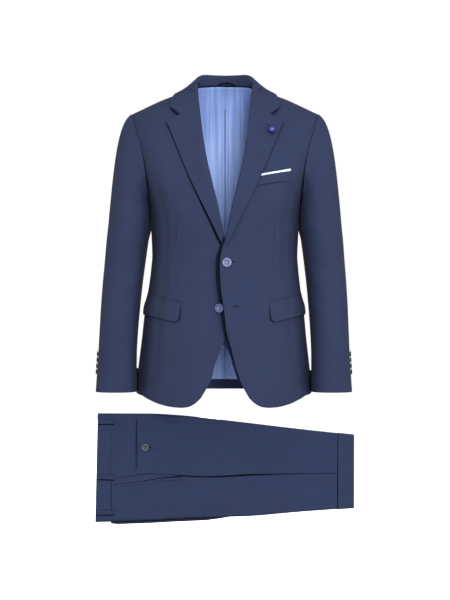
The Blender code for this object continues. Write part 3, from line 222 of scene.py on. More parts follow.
def twistedThread(name, look):
    material, tree, shader = newMaterial(name, Roughness=0.55)
    coordinates = addNode(tree, "ShaderNodeTexCoord")
    twist = addNode(tree, "ShaderNodeTexWave", {"bands_direction": "DIAGONAL"},
                    {"Scale": 2 * pi / (10 * look["twistMm"] / 1000 * sqrt(2))}, {"Vector": (coordinates, "Object")})
    lit = "#" + "".join(f"{min(255, int(look['navy'][i:i + 2], 16) + 26):02x}" for i in (1, 3, 5))
    colour = shadeBetween(tree, (twist, "Fac"), look["navy"], lit)
    tree.links.new(colour.outputs["Result"], shader.inputs["Base Color"])
    return material


# Cast opal acrylic, lit from below, as the top of a studio light table: a plain white with no shadow.
opalAcrylic = {"white": "#ffffff", "cloud": "#fbfcfd", "cloudMm": 400.0, "glow": 1.0}


def lightTable(name, look):
    material, tree, shader = newMaterial(name, Roughness=0.35, Emission_Strength=look["glow"], Base_Color=linear("#101010"))
    coordinates = addNode(tree, "ShaderNodeTexCoord")
    cloud = addNode(tree, "ShaderNodeTexNoise", None, {"Scale": 1000 / look["cloudMm"]}, {"Vector": (coordinates, "Object")})
    colour = shadeBetween(tree, (cloud, "Fac"), look["cloud"], look["white"])
    tree.links.new(colour.outputs["Result"], shader.inputs["Emission Color"])
    return material


# Painted shade: the same worsted darker, to near black, for cords and sheets deep in folds, in gaps and under edges,
# where almost no light gets in.
foldShadeWool = {"dark": "#05070d", "light": "#0c101c", "fibreMm": 1.2, "roughness": 0.95}
gapShadeWool = {"dark": "#0b1120", "light": "#151d34", "fibreMm": 1.2, "roughness": 0.95}
shadedWool = {"dark": "#141c33", "light": "#222d4b", "fibreMm": 1.2, "roughness": 0.95}


def paintedShadeWool(name, look):
    material, tree, shader = newMaterial(name, Roughness=look["roughness"], Specular_IOR_Level=0.05)
    coordinates = addNode(tree, "ShaderNodeTexCoord")
    fibre = addNode(tree, "ShaderNodeTexNoise", None, {"Scale": 1000 / look["fibreMm"]}, {"Vector": (coordinates, "Object")})
    colour = shadeBetween(tree, (fibre, "Fac"), look["dark"], look["light"])
    tree.links.new(colour.outputs["Result"], shader.inputs["Base Color"])
    return material


jacketCloth = woolTwill("worstedTwillJacket", jacketWool)
trouserCloth = woolTwill("worstedTwillTrousers", trouserWool)
liningCloth = satin("viscoseSatinLining", liningSatin)
shadedLining = satin("viscoseSatinInShade", shadedSatin)
pearlButton = castPolyester("castPearlButton", pearlCast)
litPearlButton = castPolyester("castPearlButtonLit", litPearlCast)
darkButton = castPolyester("castNavyButton", darkCast)
greyButton = castPolyester("castHornButton", greyCast)
pearlEdge = castPolyester("castPearlButtonRim", pearlRim)
shadedPearlEdge = castPolyester("castPearlButtonShadedRim", shadedPearlRim)
greyEdge = castPolyester("castHornButtonRim", greyRim)
squareCloth = cottonPoplin("ironedCottonPoplin", poplin)
pinEnamel = stoveEnamel("stoveEnamelBlue", enamel)
navyThread = twistedThread("twistedThreadNavy", sewingThread)
holeThreadAndShade = twistedThread("twistedThreadAndHoleShade", darkThread)
foldShadeCloth = paintedShadeWool("worstedFoldShade", foldShadeWool)
gapShadeCloth = paintedShadeWool("worstedGapShade", gapShadeWool)
shadedCloth = paintedShadeWool("worstedInShade", shadedWool)
print("materials made")


# ---- curves and surfaces, in metres
def table(names, *rows):
    return {name: np.array(column, float) for name, column in zip(names.split(), zip(*rows))}


def follow(columns, key, name, at):
    # the column "name" where the column "key" is "at", on a smooth curve that doesn't overshoot
    x, y = columns[key], columns[name]
    if x[0] > x[-1]:
        x, y = x[::-1], y[::-1]
    steps = np.diff(x)
    slopes = np.diff(y) / steps
    tangents = np.zeros(len(x))
    sameWay = slopes[:-1] * slopes[1:] > 0
    mean = 2 * slopes[:-1] * slopes[1:] / np.where(sameWay, slopes[:-1] + slopes[1:], 1)
    tangents[1:-1] = np.where(sameWay, mean, 0)
    tangents[0], tangents[-1] = slopes[0], slopes[-1]
    at = np.clip(np.asarray(at, float), x[0], x[-1])
    i = np.clip(np.searchsorted(x, at) - 1, 0, len(x) - 2)
    t = (at - x[i]) / steps[i]
    start = (1 + 2 * t) * (1 - t) ** 2 * y[i] + t * (1 - t) ** 2 * steps[i] * tangents[i]
    return start + t ** 2 * (3 - 2 * t) * y[i + 1] + t ** 2 * (t - 1) * steps[i] * tangents[i + 1]


def ease(t):
    t = np.clip(t, 0, 1)
    return t * t * (3 - 2 * t)


def signedPower(value, exponent):
    return np.sign(value) * np.abs(value) ** exponent


def pair(turn, height):
    return np.stack(np.broadcast_arrays(turn, height), axis=-1)


def mirrored(points, side):
    return points * np.array([side, 1, 1])


def gridNormals(points):
    out = np.cross(np.gradient(points, axis=0), np.gradient(points, axis=1))
    return out / np.linalg.norm(out, axis=-1, keepdims=True)


def patch(bottom, top, left, right, columns, rows):
    # blends four edges of (turn, height)
    u, v = np.asarray(columns)[None, :, None], np.asarray(rows)[:, None, None]
    low, high, near, far = bottom[None], top[None], left[:, None], right[:, None]
    corners = (low[:, :1] * (1 - u) + low[:, -1:] * u) * (1 - v)
    corners = corners + (high[:, :1] * (1 - u) + high[:, -1:] * u) * v
    grid = low * (1 - v) + high * v + near * (1 - u) + far * u - corners
    return grid[..., 0], grid[..., 1]


# The body of the jacket, level by level, and its shoulder line.
torso = {
    "levels": table(
        "height halfWidth frontDepth backDepth",
        (-0.760, 0.2090, 0.1365, 0.1280), (-0.706, 0.2083, 0.1360, 0.1280), (-0.679, 0.2064, 0.1352, 0.1275),
        (-0.655, 0.2040, 0.1345, 0.1270), (-0.582, 0.1950, 0.1325, 0.1230), (-0.514, 0.1875, 0.1300, 0.1170),
        (-0.460, 0.1785, 0.1275, 0.1100), (-0.420, 0.1735, 0.1260, 0.1050), (-0.390, 0.1710, 0.1265, 0.1040),
        (-0.352, 0.1722, 0.1290, 0.1070), (-0.320, 0.1741, 0.1315, 0.1110), (-0.300, 0.1762, 0.1330, 0.1130),
        (-0.262, 0.1822, 0.1345, 0.1170), (-0.230, 0.1890, 0.1350, 0.1190), (-0.163, 0.2025, 0.1340, 0.1210),
        (-0.100, 0.2150, 0.1320, 0.1200), (-0.056, 0.2220, 0.1300, 0.1180), (0.050, 0.2280, 0.1250, 0.1150)),
    "shoulder": table(
        "across height backOfSide frontRound backRound",
        (0.0000, 0.0360, 0.030, 0.320, 0.160), (0.0300, 0.0300, 0.027, 0.320, 0.160),
        (0.0500, 0.0190, 0.019, 0.320, 0.160), (0.0705, 0.0045, 0.013, 0.320, 0.160),
        (0.0900, -0.0030, 0.011, 0.300, 0.165), (0.1156, -0.0108, 0.010, 0.270, 0.170),
        (0.1500, -0.0238, 0.009, 0.205, 0.165), (0.1800, -0.0378, 0.008, 0.160, 0.150),
        (0.2000, -0.0475, 0.007, 0.135, 0.135), (0.2300, -0.0615, 0.006, 0.120, 0.125)),
    "squareness": 2.25, "frontPower": 1.5, "backPower": 2.0,
    "wall": 0.0020,          # wool, canvas and facing
    "seamSink": 0.0007,      # how far a sewn edge turns in
}
levels, shoulder = torso["levels"], torso["shoulder"]


def bodyAt(turn, height):
    # a point of the outside; turn 0 is the middle of the front, 0.5 the side, 1 the middle of the back
    turn, height = np.broadcast_arrays(np.asarray(turn, float), np.asarray(height, float))
    exponent = 2 / torso["squareness"]
    x = follow(levels, "height", "halfWidth", height) * signedPower(np.sin(pi * turn), exponent)
    front = np.cos(pi * turn) >= 0
    depth = np.where(front, follow(levels, "height", "frontDepth", height), follow(levels, "height", "backDepth", height))
    full = -depth * signedPower(np.cos(pi * turn), exponent)
    out = np.abs(x)
    ridge = follow(shoulder, "across", "height", out)
    seam = follow(shoulder, "across", "backOfSide", out)
    drop = np.where(front, follow(shoulder, "across", "frontRound", out), follow(shoulder, "across", "backRound", out))
    bend = np.where(front, torso["frontPower"], torso["backPower"])
    t = np.clip((ridge - height) / drop, 0, 1)
    rounded = (1 - (1 - t) ** bend) ** (1 / bend)
    return np.stack([x, seam + (full - seam) * rounded, height], axis=-1)


def turnAt(across, height, front=True):
    share = np.clip(np.abs(across) / follow(levels, "height", "halfWidth", height), 0, 1)
    turn = np.arcsin(share ** (torso["squareness"] / 2)) / pi
    return np.sign(across) * turn if front else 1 - turn


def normalsAt(turn, height):
    across = bodyAt(turn + 2e-4, height) - bodyAt(turn - 2e-4, height)
    fall = bodyAt(turn, height - 2e-5) - bodyAt(turn, height)
    out = np.cross(fall, across)
    return out / np.linalg.norm(out, axis=-1, keepdims=True)


def bodyOver(across, forward):
    # a point of the shoulders at a place in plan
    height = follow(shoulder, "across", "height", np.abs(across)) - 0.01
    for step in range(40):
        out = np.abs(across)
        seam = follow(shoulder, "across", "backOfSide", out)
        ridge = follow(shoulder, "across", "height", out)
        front = forward < seam
        side = np.cos(pi * turnAt(out, height)) ** (2 / torso["squareness"])
        depth = np.where(front, follow(levels, "height", "frontDepth", height),
                         follow(levels, "height", "backDepth", height)) * side
        reach = np.where(front, (seam - forward) / (depth + seam), (forward - seam) / (depth - seam))
        bend = np.where(front, torso["frontPower"], torso["backPower"])
        drop = np.where(front, follow(shoulder, "across", "frontRound", out), follow(shoulder, "across", "backRound", out))
        t = 1 - (1 - np.clip(reach, 0, 0.98) ** bend) ** (1 / bend)
        height = 0.5 * height + 0.5 * (ridge - drop * t)
    return np.stack([across, forward, height], axis=-1)


# ---- making cloth
def link(piece):
    bpy.context.scene.collection.objects.link(piece)
    return piece


made = []


def meshObject(name, points, faces, material, smooth=True):
    mesh = bpy.data.meshes.new(name)
    mesh.from_pydata(np.asarray(points).tolist(), [], [list(map(int, face)) for face in faces])
    mesh.materials.append(material)
    if smooth:
        mesh.shade_smooth()
    piece = link(bpy.data.objects.new(name, mesh))
    made.append(piece)
    return piece


def movePieces(pieces, move):
    # one small movement of all points of these pieces, so that they still fit each other
    for piece in pieces:
        points = np.empty(len(piece.data.vertices) * 3, np.float32)
        piece.data.vertices.foreach_get("co", points)
        placed = points.reshape(-1, 3).astype(float)
        move(placed)
        piece.data.vertices.foreach_set("co", placed.ravel())
        piece.data.update()


def edgeSteps(grid, radius, atStart):
    # two more columns beside an edge, so that it can turn in on a round
    if radius <= 0:
        return grid, [0.0]
    first, second = (grid[:, 0], grid[:, 1]) if atStart else (grid[:, -1], grid[:, -2])
    length = np.linalg.norm(second[:, :3] - first[:, :3], axis=-1, keepdims=True)
    share = np.clip(radius / np.maximum(length, 1e-6), 0, 0.6)
    extra = [first + (second - first) * share * step for step in (0.14, 0.46, 1.0)]
    if atStart:
        return np.concatenate([first[:, None], np.stack(extra, axis=1), grid[:, 1:]], axis=1)
    return np.concatenate([grid[:, :-1], np.stack(extra[::-1], axis=1), first[:, None]], axis=1)


roundDrop = (1.0, 0.49, 0.158, 0.0)      # of a quarter round, at those steps


def clothPiece(name, points, out, material, wall, edges, replaces=()):
    # a thin shell with rounded edges from a grid of points on its outside; edges are the radii at the
    # first column, last column, first row and last row, in metres
    grid = np.concatenate([points, out], axis=-1)
    for atStart, radius in ((True, edges[0]), (False, edges[1])):
        grid = edgeSteps(grid, radius, atStart) if radius > 0 else grid
    grid = grid.transpose(1, 0, 2)
    for atStart, radius in ((True, edges[2]), (False, edges[3])):
        grid = edgeSteps(grid, radius, atStart) if radius > 0 else grid
    grid = grid.transpose(1, 0, 2)
    rows, columns = grid.shape[:2]
    dropAcross, dropAlong = np.zeros(columns), np.zeros(rows)
    for k, share in enumerate(roundDrop):
        dropAcross[k] = max(dropAcross[k], share * edges[0])
        dropAcross[-1 - k] = max(dropAcross[-1 - k], share * edges[1])
        dropAlong[k] = max(dropAlong[k], share * edges[2])
        dropAlong[-1 - k] = max(dropAlong[-1 - k], share * edges[3])
    drop = np.maximum(dropAcross[None], dropAlong[:, None])[..., None]
    place, out = grid[..., :3], grid[..., 3:]
    out = out / np.linalg.norm(out, axis=-1, keepdims=True)
    wall = np.broadcast_to(np.asarray(wall, float), (rows, columns))[..., None] if np.ndim(wall) == 0 else wall
    inside = np.minimum(drop, wall * 0.48)
    outer, inner = place - out * drop, place - out * (wall - inside)

    index = np.arange(rows * columns).reshape(rows, columns)
    a, b, c, d = index[:-1, :-1], index[:-1, 1:], index[1:, 1:], index[1:, :-1]
    quads = np.stack([a, b, c, d], axis=-1).reshape(-1, 4)
    middle = quads[len(quads) // 2 + columns // 2]
    corner = outer.reshape(-1, 3)[middle]
    facing = np.dot(np.cross(corner[1] - corner[0], corner[3] - corner[0]), out.reshape(-1, 3)[middle[0]])
    back = rows * columns
    faces = [quads, quads[:, ::-1] + back]
    ring = np.concatenate([index[0, :-1], index[:-1, -1], index[-1, :0:-1], index[:0:-1, 0]])
    following = np.roll(ring, -1)
    faces.append(np.stack([following, ring, ring + back, following + back], axis=-1))
    faces = np.concatenate(faces)
    if facing < 0:
        faces = faces[:, ::-1]
    piece = meshObject(name, np.concatenate([outer.reshape(-1, 3), inner.reshape(-1, 3)]), faces, material)

    stepAcross = np.linalg.norm(np.diff(place, axis=1), axis=-1)
    stepAlong = np.linalg.norm(np.diff(place, axis=0), axis=-1)
    u = np.concatenate([np.zeros((rows, 1)), np.cumsum(stepAcross, axis=1)], axis=1)
    v = np.concatenate([np.zeros((1, columns)), np.cumsum(stepAlong, axis=0)], axis=0)
    flatPlace = np.stack([u, v, np.zeros_like(u)], axis=-1).reshape(-1, 3)
    attribute = piece.data.attributes.new("clothPlace", "FLOAT_VECTOR", "POINT")
    attribute.data.foreach_set("vector", np.concatenate([flatPlace, flatPlace]).ravel())

    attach(piece, "root")
    if replaces:
        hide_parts(*([replaces] if isinstance(replaces, str) else replaces))
    return piece


def softFolds(points, out, folds):
    # troughs (deep below 0) and ridges along lines in the plane of the front or back
    moved = np.zeros(points.shape[:2])
    for startX, startZ, endX, endZ, wide, deep in folds:
        start, along = np.array([startX, startZ]), np.array([endX - startX, endZ - startZ])
        place = points[..., (0, 2)] - start
        t = (place @ along) / (along @ along)
        distance = np.linalg.norm(place - np.clip(t, 0, 1)[..., None] * along, axis=-1)
        moved += deep * np.exp(-(distance / wide) ** 2) * ease(t / 0.25 + 0.25) * ease((1 - t) / 0.25 + 0.25)
    return points + out * moved[..., None]


def roundPiece(name, centre, axis, profile, segments, material, replaces=(), rim=None):
    # a closed turned piece; the profile gives (radius, height) from the middle below to the middle above,
    # and rim gives a second material and the first and last ring of the profile that it covers
    axis = np.asarray(axis, float) / np.linalg.norm(axis)
    across = np.cross(axis, [0.0, 0.0, 1.0])
    across = across / np.linalg.norm(across)
    up = np.cross(across, axis)
    angles = 2 * pi * np.arange(segments) / segments
    circle = np.cos(angles)[:, None] * across + np.sin(angles)[:, None] * up
    points = [centre + axis * profile[0][1]]
    for radius, height in profile[1:-1]:
        points += list(centre + axis * height + circle * radius)
    points.append(centre + axis * profile[-1][1])
    last, rings = len(points) - 1, len(profile) - 2
    faces = []
    for k in range(segments):
        n = (k + 1) % segments
        faces.append((0, 1 + n, 1 + k))
        for i in range(rings - 1):
            a, b = 1 + i * segments, 1 + (i + 1) * segments
            faces.append((a + k, a + n, b + n, b + k))
        top = 1 + (rings - 1) * segments
        faces.append((last, top + k, top + n))
    piece = meshObject(name, points, faces, material)
    if rim:
        piece.data.materials.append(rim[0])
        for face in piece.data.polygons:
            ring = (min(face.vertices) - 1) // segments
            face.material_index = int(rim[1] <= ring < rim[2])
    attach(piece, "root")
    if replaces:
        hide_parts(replaces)
    return piece


def threadRun(name, paths, radius, material):
    # thin round threads, all in one piece, each along its own list of points; radius is one number, or a
    # list of numbers along the thread
    points, faces = [], []
    ring = 6
    for path in paths:
        path = np.asarray(path, float)
        along = np.gradient(path, axis=0)
        along = along / np.linalg.norm(along, axis=1, keepdims=True)
        helper = np.where(np.abs(along[:, 2:]) < 0.9, np.array([[0.0, 0, 1]]), np.array([[1.0, 0, 0]]))
        side = np.cross(along, helper)
        side = side / np.linalg.norm(side, axis=1, keepdims=True)
        other = np.cross(side, along)
        base = len(points)
        sizes = np.interp(np.linspace(0, 1, len(path)), np.linspace(0, 1, np.size(radius)), np.atleast_1d(radius))
        sizes[[0, -1]] *= 0.35
        for place, s, o, size in zip(path, side, other, sizes):
            for k in range(ring):
                angle = 2 * pi * k / ring
                points.append(place + (s * np.cos(angle) + o * np.sin(angle)) * size)
        for i in range(len(path) - 1):
            for k in range(ring):
                n = (k + 1) % ring
                a, b = base + i * ring, base + (i + 1) * ring
                faces.append((a + k, a + n, b + n, b + k))
        faces.append(tuple(base + k for k in reversed(range(ring))))
        faces.append(tuple(base + (len(path) - 1) * ring + k for k in range(ring)))
    piece = meshObject(name, points, faces, material)
    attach(piece, "root")
    return piece


def shadeLines(name, paths, sizes, material=None):
    # painted shade: the darkest part of folds and of the gaps under edges, drawn as thin soft dark cords sunk into them
    for k, (path, size) in enumerate(zip(paths, sizes)):
        threadRun(f"{name}{k + 1}", [path], size, material or foldShadeCloth)


def stitches(line, out, pitch, length, lift):
    # short threads along a line of points, each sunk at both ends
    line, out = np.asarray(line), np.asarray(out)
    steps = np.concatenate([[0], np.cumsum(np.linalg.norm(np.diff(line, axis=0), axis=1))])
    paths = []
    for start in np.arange(pitch * 0.5, steps[-1] - length, pitch):
        places = start + length * np.array([0, 0.25, 0.5, 0.75, 1])
        spot = np.stack([np.interp(places, steps, line[:, k]) for k in range(3)], axis=-1)
        way = np.stack([np.interp(places, steps, out[:, k]) for k in range(3)], axis=-1)
        paths.append(spot + way * (lift * np.array([-0.6, 0.5, 1, 0.5, -0.6]))[:, None])
    return paths


# ---- jacket body
frontCut = {
    "overEdge": table(
        "height across",
        (-0.7165, 0.0553), (-0.6933, 0.0422), (-0.6724, 0.0333), (-0.6307, 0.0205), (-0.6021, 0.0136),
        (-0.5656, 0.0036), (-0.5137, -0.0025), (-0.4615, -0.0098), (-0.4200, -0.0118), (-0.3860, -0.0086),
        (-0.3660, -0.0030)),
    "underEdge": table(
        "height across",
        (-0.7165, 0.0553), (-0.6927, 0.0412), (-0.6714, 0.0305), (-0.6472, 0.0251), (-0.6250, 0.0183),
        (-0.6018, 0.0085), (-0.5850, 0.0020), (-0.5116, -0.0023), (-0.4595, -0.0136), (-0.4200, -0.0190),
        (-0.3860, -0.0160), (-0.3660, -0.0070)),
    "roll": table(
        "height across",
        (-0.3574, 0.0000), (-0.3305, 0.0052), (-0.2730, 0.0175), (-0.2230, 0.0300), (-0.1550, 0.0450),
        (-0.0860, 0.0553), (-0.0235, 0.0635), (0.0045, 0.0705)),
    "hem": table(
        "across height",
        (0.0553, -0.7165), (0.0683, -0.7290), (0.0839, -0.7368), (0.0996, -0.7384), (0.1204, -0.7370),
        (0.1478, -0.7312), (0.1750, -0.7232), (0.1960, -0.7142)),
    "break": -0.3660, "neckPoint": 0.0705, "shoulderTip": 0.2160,
    # the right front lies this far behind the left one, in full up to the first place from the middle
    "underlap": {"by": 0.0050, "full": 0.016, "end": 0.060},
    "waist": {"by": 0.0080, "from": 0.235, "over": 0.075, "to": 0.50, "bottom": -0.800, "top": -0.180, "fade": 0.120},
    # beside the buttons the covering edge stands off, and the covered front gives way below it
    "standsOff": {"over": 0.0042, "under": 0.0040, "wide": 0.026, "bottom": -0.600, "top": -0.360, "fade": 0.050},
    "edgeRound": 0.00085,
    # the dart below each side of the chest: a sewn line, drawn in a little at the waist
    "dart": {"across": 0.1130, "top": -0.2800, "bottom": -0.4940, "wide": 0.0013, "deep": -0.00075},
    # faint pulls towards the fastened button, and the fall of the cloth below the chest
    "folds": [(0.015, -0.409, 0.090, -0.385, 0.010, 0.0007), (0.020, -0.420, 0.105, -0.452, 0.009, -0.0006),
              (0.120, -0.240, 0.140, -0.400, 0.016, -0.0011), (0.070, -0.560, 0.085, -0.700, 0.020, 0.0010),
              (0.150, -0.600, 0.158, -0.700, 0.016, -0.0010)],
}
backCut = {"hem": -0.7092, "sideHem": -0.7100, "liningHem": -0.6855, "liningWall": 0.0010,
           "folds": [(0.030, -0.060, 0.150, -0.120, 0.014, 0.0010), (0.050, -0.330, 0.125, -0.300, 0.012, -0.0011),
                     (0.040, -0.380, 0.130, -0.365, 0.010, 0.0010), (0.075, -0.560, 0.090, -0.690, 0.020, -0.0012),
                     (0.160, -0.200, 0.120, -0.300, 0.014, -0.0012)]}
armholeCut = table(
    "around turn height",
    (0.00, 0.4216, -0.0550), (0.10, 0.4125, -0.0780), (0.20, 0.3972, -0.1040), (0.35, 0.3750, -0.1450),
    (0.50, 0.3722, -0.1820), (0.65, 0.3880, -0.2160), (0.80, 0.4108, -0.2430), (0.90, 0.4460, -0.2560),
    (1.00, 0.5000, -0.2620))
backArmhole = 0.90
joins = {"front": 0.80, "back": 1.24}        # where the side seams meet the armhole
sideSeam = table("height frontTurn backTurn", (-0.760, 0.398, 0.608), (-0.243, 0.4108, 0.5902))


def armholeAt(around):
    around = np.asarray(around, float)
    share = np.where(around <= 1, around, 2 - around)
    turn = follow(armholeCut, "around", "turn", share)
    hollow = 1 + (backArmhole - 1) * np.sin(pi * np.clip(share, 0, 1))
    turn = np.where(around <= 1, turn, 0.5 + (0.5 - turn) * hollow)
    return turn, follow(armholeCut, "around", "height", share)


def sideEdge(low, column, steps, around):
    turn, height = armholeAt(around)
    below = np.linspace(low, height[0], steps)[:-1]
    seam = follow(sideSeam, "height", column, below)
    return np.concatenate([seam, turn]), np.concatenate([below, height])


def underRidge(turn, height):
    return np.minimum(height, follow(shoulder, "across", "height", np.abs(bodyAt(turn, height)[..., 0])))


def onFront(side, turn, height, lift=0.0):
    points, out = bodyAt(turn, height), normalsAt(turn, height)
    lift = lift + turnedIn(turn, height)
    if side < 0:
        under = frontCut["underlap"]
        lift = lift - under["by"] * ease((under["end"] - points[..., 0]) / (under["end"] - under["full"]))
    return mirrored(points + out * lift[..., None], side), mirrored(out, side)


def turnedIn(turn, height):
    # beyond the dart, below the armhole, the body turns away a little more quickly
    waist = frontCut["waist"]
    along = ease((height - waist["bottom"]) / waist["fade"]) * ease((waist["top"] - height) / waist["fade"])
    return -waist["by"] * ease((turn - waist["from"]) / waist["over"]) * ease((waist["to"] - turn) / 0.14) * along


def standingOff(side, points):
    # how far a front stands off, or gives way, beside the buttons
    off, edge = frontCut["standsOff"], frontCut["overEdge"]
    height = points[..., 2]
    fromEdge = points[..., 0] - follow(edge, "height", "across", height)
    along = ease((height - off["bottom"]) / off["fade"]) * ease((off["top"] - height) / off["fade"])
    if side > 0:
        return off["over"] * along * (1 - ease(fromEdge / off["wide"]))
    return -off["under"] * along * np.exp(-((fromEdge + 0.004) / (off["wide"] * 0.45)) ** 2)


def ending(side):
    return "left" if side > 0 else "right"


def frontPlaces(side):
    edge, roll, hem = (frontCut[key] for key in ("overEdge" if side > 0 else "underEdge", "roll", "hem"))
    around = np.concatenate([[joins["front"], 0.73], np.linspace(0.66, 0, 46)])
    farTurn, farHeight = sideEdge(hem["height"][-1], "frontTurn", 84, around)
    rows = (farHeight - farHeight[0]) / (farHeight[-1] - farHeight[0])
    nearHeight = edge["height"][0] + (roll["height"][-1] - edge["height"][0]) * rows
    turned = ease((nearHeight - frontCut["break"]) / 0.010)
    onEdge = follow(edge, "height", "across", nearHeight)
    onRoll = follow(roll, "height", "across", nearHeight)
    near = pair(turnAt(onEdge * (1 - turned) + onRoll * turned, nearHeight), nearHeight)
    columns = np.linspace(0, 1, 58) ** 0.9
    across = hem["across"][0] + (hem["across"][-1] - hem["across"][0]) * columns
    height = follow(hem, "across", "height", across)
    turn = turnAt(across, height)
    low = pair(turn[0] + (turn - turn[0]) * (farTurn[0] - turn[0]) / (turn[-1] - turn[0]), height)
    across = frontCut["neckPoint"] + (frontCut["shoulderTip"] - frontCut["neckPoint"]) * columns
    height = follow(shoulder, "across", "height", across)
    high = pair(turnAt(across, height), height)
    turn, height = patch(low, high, near, pair(farTurn, farHeight), columns, rows)
    return turn, underRidge(turn, height)


def front(side):
    turn, height = frontPlaces(side)
    points, out = onFront(side, turn, height)
    dart = frontCut["dart"]
    lines = [(dart["across"], dart["bottom"], dart["across"] - 0.001, dart["top"], dart["wide"], dart["deep"]),
             (dart["across"], dart["bottom"], dart["across"] - 0.001, dart["top"], dart["wide"] * 8, dart["deep"] * 0.9)]
    folds = [(side * a, b, side * c, d, wide, deep) for a, b, c, d, wide, deep in frontCut["folds"] + lines]
    points = softFolds(points, out, folds)
    points = points + out * standingOff(side, points)[..., None]
    # painted shade along the dart's sewn line, as a thin dark cord
    level = np.linspace(dart["bottom"] + 0.006, dart["top"] - 0.006, 60)
    line, ways = onFront(side, turnAt(dart["across"] - 0.0005 + 0 * level, level), level, dart["deep"] * 1.9)
    shadeLines(f"dartShade{ending(side).title()}", [line], [0.00032])
    sewn, free = torso["seamSink"], frontCut["edgeRound"]
    clothPiece(f"front{ending(side).title()}", points, out, jacketCloth, torso["wall"], (free, sewn, free, sewn),
               f"front_{ending(side)}")
    if side > 0:
        # painted shade in the gap under the covering edge, as two dark cords
        level = np.linspace(-0.636, -0.352, 90)
        across = follow(frontCut["overEdge"], "height", "across", level)
        share = np.interp(level, (-0.636, -0.606, -0.560, -0.440, -0.395, -0.370, -0.352), (0.0, 0.35, 0.8, 1.0, 1.0, 0.8, 0.4))
        line, ways = onFront(-1, turnAt(-across + 0.0006, level), level, 0.0)
        line[:, 0] = across - 0.0036 * share
        shadeLines("frontEdgeShade", [line - ways * 0.0016], [0.0005 + 0.0048 * share], gapShadeCloth)
        line[:, 0] = across - 0.0010
        shadeLines("frontEdgeDeepShade", [line + ways * (0.0014 * share)[:, None]], [0.0005 + 0.0027 * share])
        # the covered front's facing, seen through the narrow top of the opening, drawn in the darker shade wool:
        # painted shade
        level = np.linspace(-0.690, -0.515, 40)[:, None]
        edge = follow(frontCut["overEdge"], "height", "across", level)
        shows = np.interp(level, (-0.690, -0.622, -0.604, -0.578), (0.0040, 0.0056, 0.0090, 0.0300))
        across = edge - shows + (shows + 0.010) * np.linspace(0, 1, 14)
        place, ways = onFront(1, turnAt(across, level), level + 0 * across, -0.012)
        clothPiece("coveredFacing", place, ways, shadedCloth, 0.0009, (0.0003,) * 4)
        # the lining beside it, seen through the opening, in the darker satin copy: painted shade
        level = np.linspace(-0.6732, -0.600, 24)[:, None]
        edge = follow(frontCut["overEdge"], "height", "across", level)
        shows = np.interp(level, (-0.6732, -0.650, -0.622, -0.604), (0.0210, 0.0150, 0.0085, 0.0060))
        across = edge - shows + (shows + 0.008) * np.linspace(0, 1, 14)
        place, ways = onFront(1, turnAt(across, level), level + 0 * across, -0.0140)
        clothPiece("coveredFacingLining", place, ways, shadedLining, 0.0007, (0.0003,) * 4)
    # the lining of the front, behind its wool facing
    part = (slice(4, -6, 2), slice(24, -5, 2))
    points, out = onFront(side, turn[part], height[part], -torso["wall"] - 0.0002)
    clothPiece(f"frontLining{ending(side).title()}", points, out, liningCloth, 0.0007, (0.0003, 0, 0.0003, 0))


def sidePanel(side):
    rows = np.linspace(0, 1, 70)[:, None]
    share = np.linspace(0, 1, 30)
    topTurn, top = armholeAt(joins["front"] + (joins["back"] - joins["front"]) * share)
    hemEnd = frontCut["hem"]["height"][-1]
    low = backCut["sideHem"] + (hemEnd - backCut["sideHem"]) * (1 - ease(share * 2))
    start = follow(sideSeam, "height", "frontTurn", low[0])
    lowTurn = start + (follow(sideSeam, "height", "backTurn", low[-1]) - start) * share
    turn = lowTurn * (1 - rows) + topTurn * rows
    height = low * (1 - rows) + top * rows
    points, out = bodyAt(turn, height), normalsAt(turn, height)
    points = points + out * turnedIn(turn, height)[..., None]
    sewn, free = torso["seamSink"], frontCut["edgeRound"]
    name = ending(side)
    clothPiece(f"side{name.title()}", mirrored(points, side), mirrored(out, side), jacketCloth, torso["wall"],
               (sewn, sewn, free, sewn), f"side_{name}")
    skin = points[3:-8] - out[3:-8] * (torso["wall"] + 0.0002)
    clothPiece(f"sideLining{name.title()}", mirrored(skin, side), mirrored(out[3:-8], side), liningCloth, 0.0007,
               (0, 0, 0.0003, 0))


collarCut = {
    "line": table(
        "along baseX baseZ rise lean edgeX edgeY",
        (0.00, 0.0000, 0.0178, 0.0252, 0.003, 0.0000, 0.0860), (0.20, 0.0280, 0.0168, 0.0262, 0.003, 0.0430, 0.0770),
        (0.40, 0.0520, 0.0130, 0.0278, 0.004, 0.0850, 0.0470), (0.55, 0.0705, 0.0045, 0.0180, 0.005, 0.1130, 0.0150),
        (0.70, 0.0683, -0.0060, 0.0145, 0.004, 0.1225, -0.0040), (0.90, 0.0652, -0.0180, 0.0090, 0.002, 0.1287, -0.0260),
        (1.00, 0.0635, -0.0235, 0.0060, 0.001, 0.1083, -0.0430)),
    "neckStation": 0.55, "wall": 0.0024, "lies": 0.0048, "foldRadius": 0.0042, "standOver": 0.0008, "standInside": 0.0018, "overLapel": 0.0011,
}


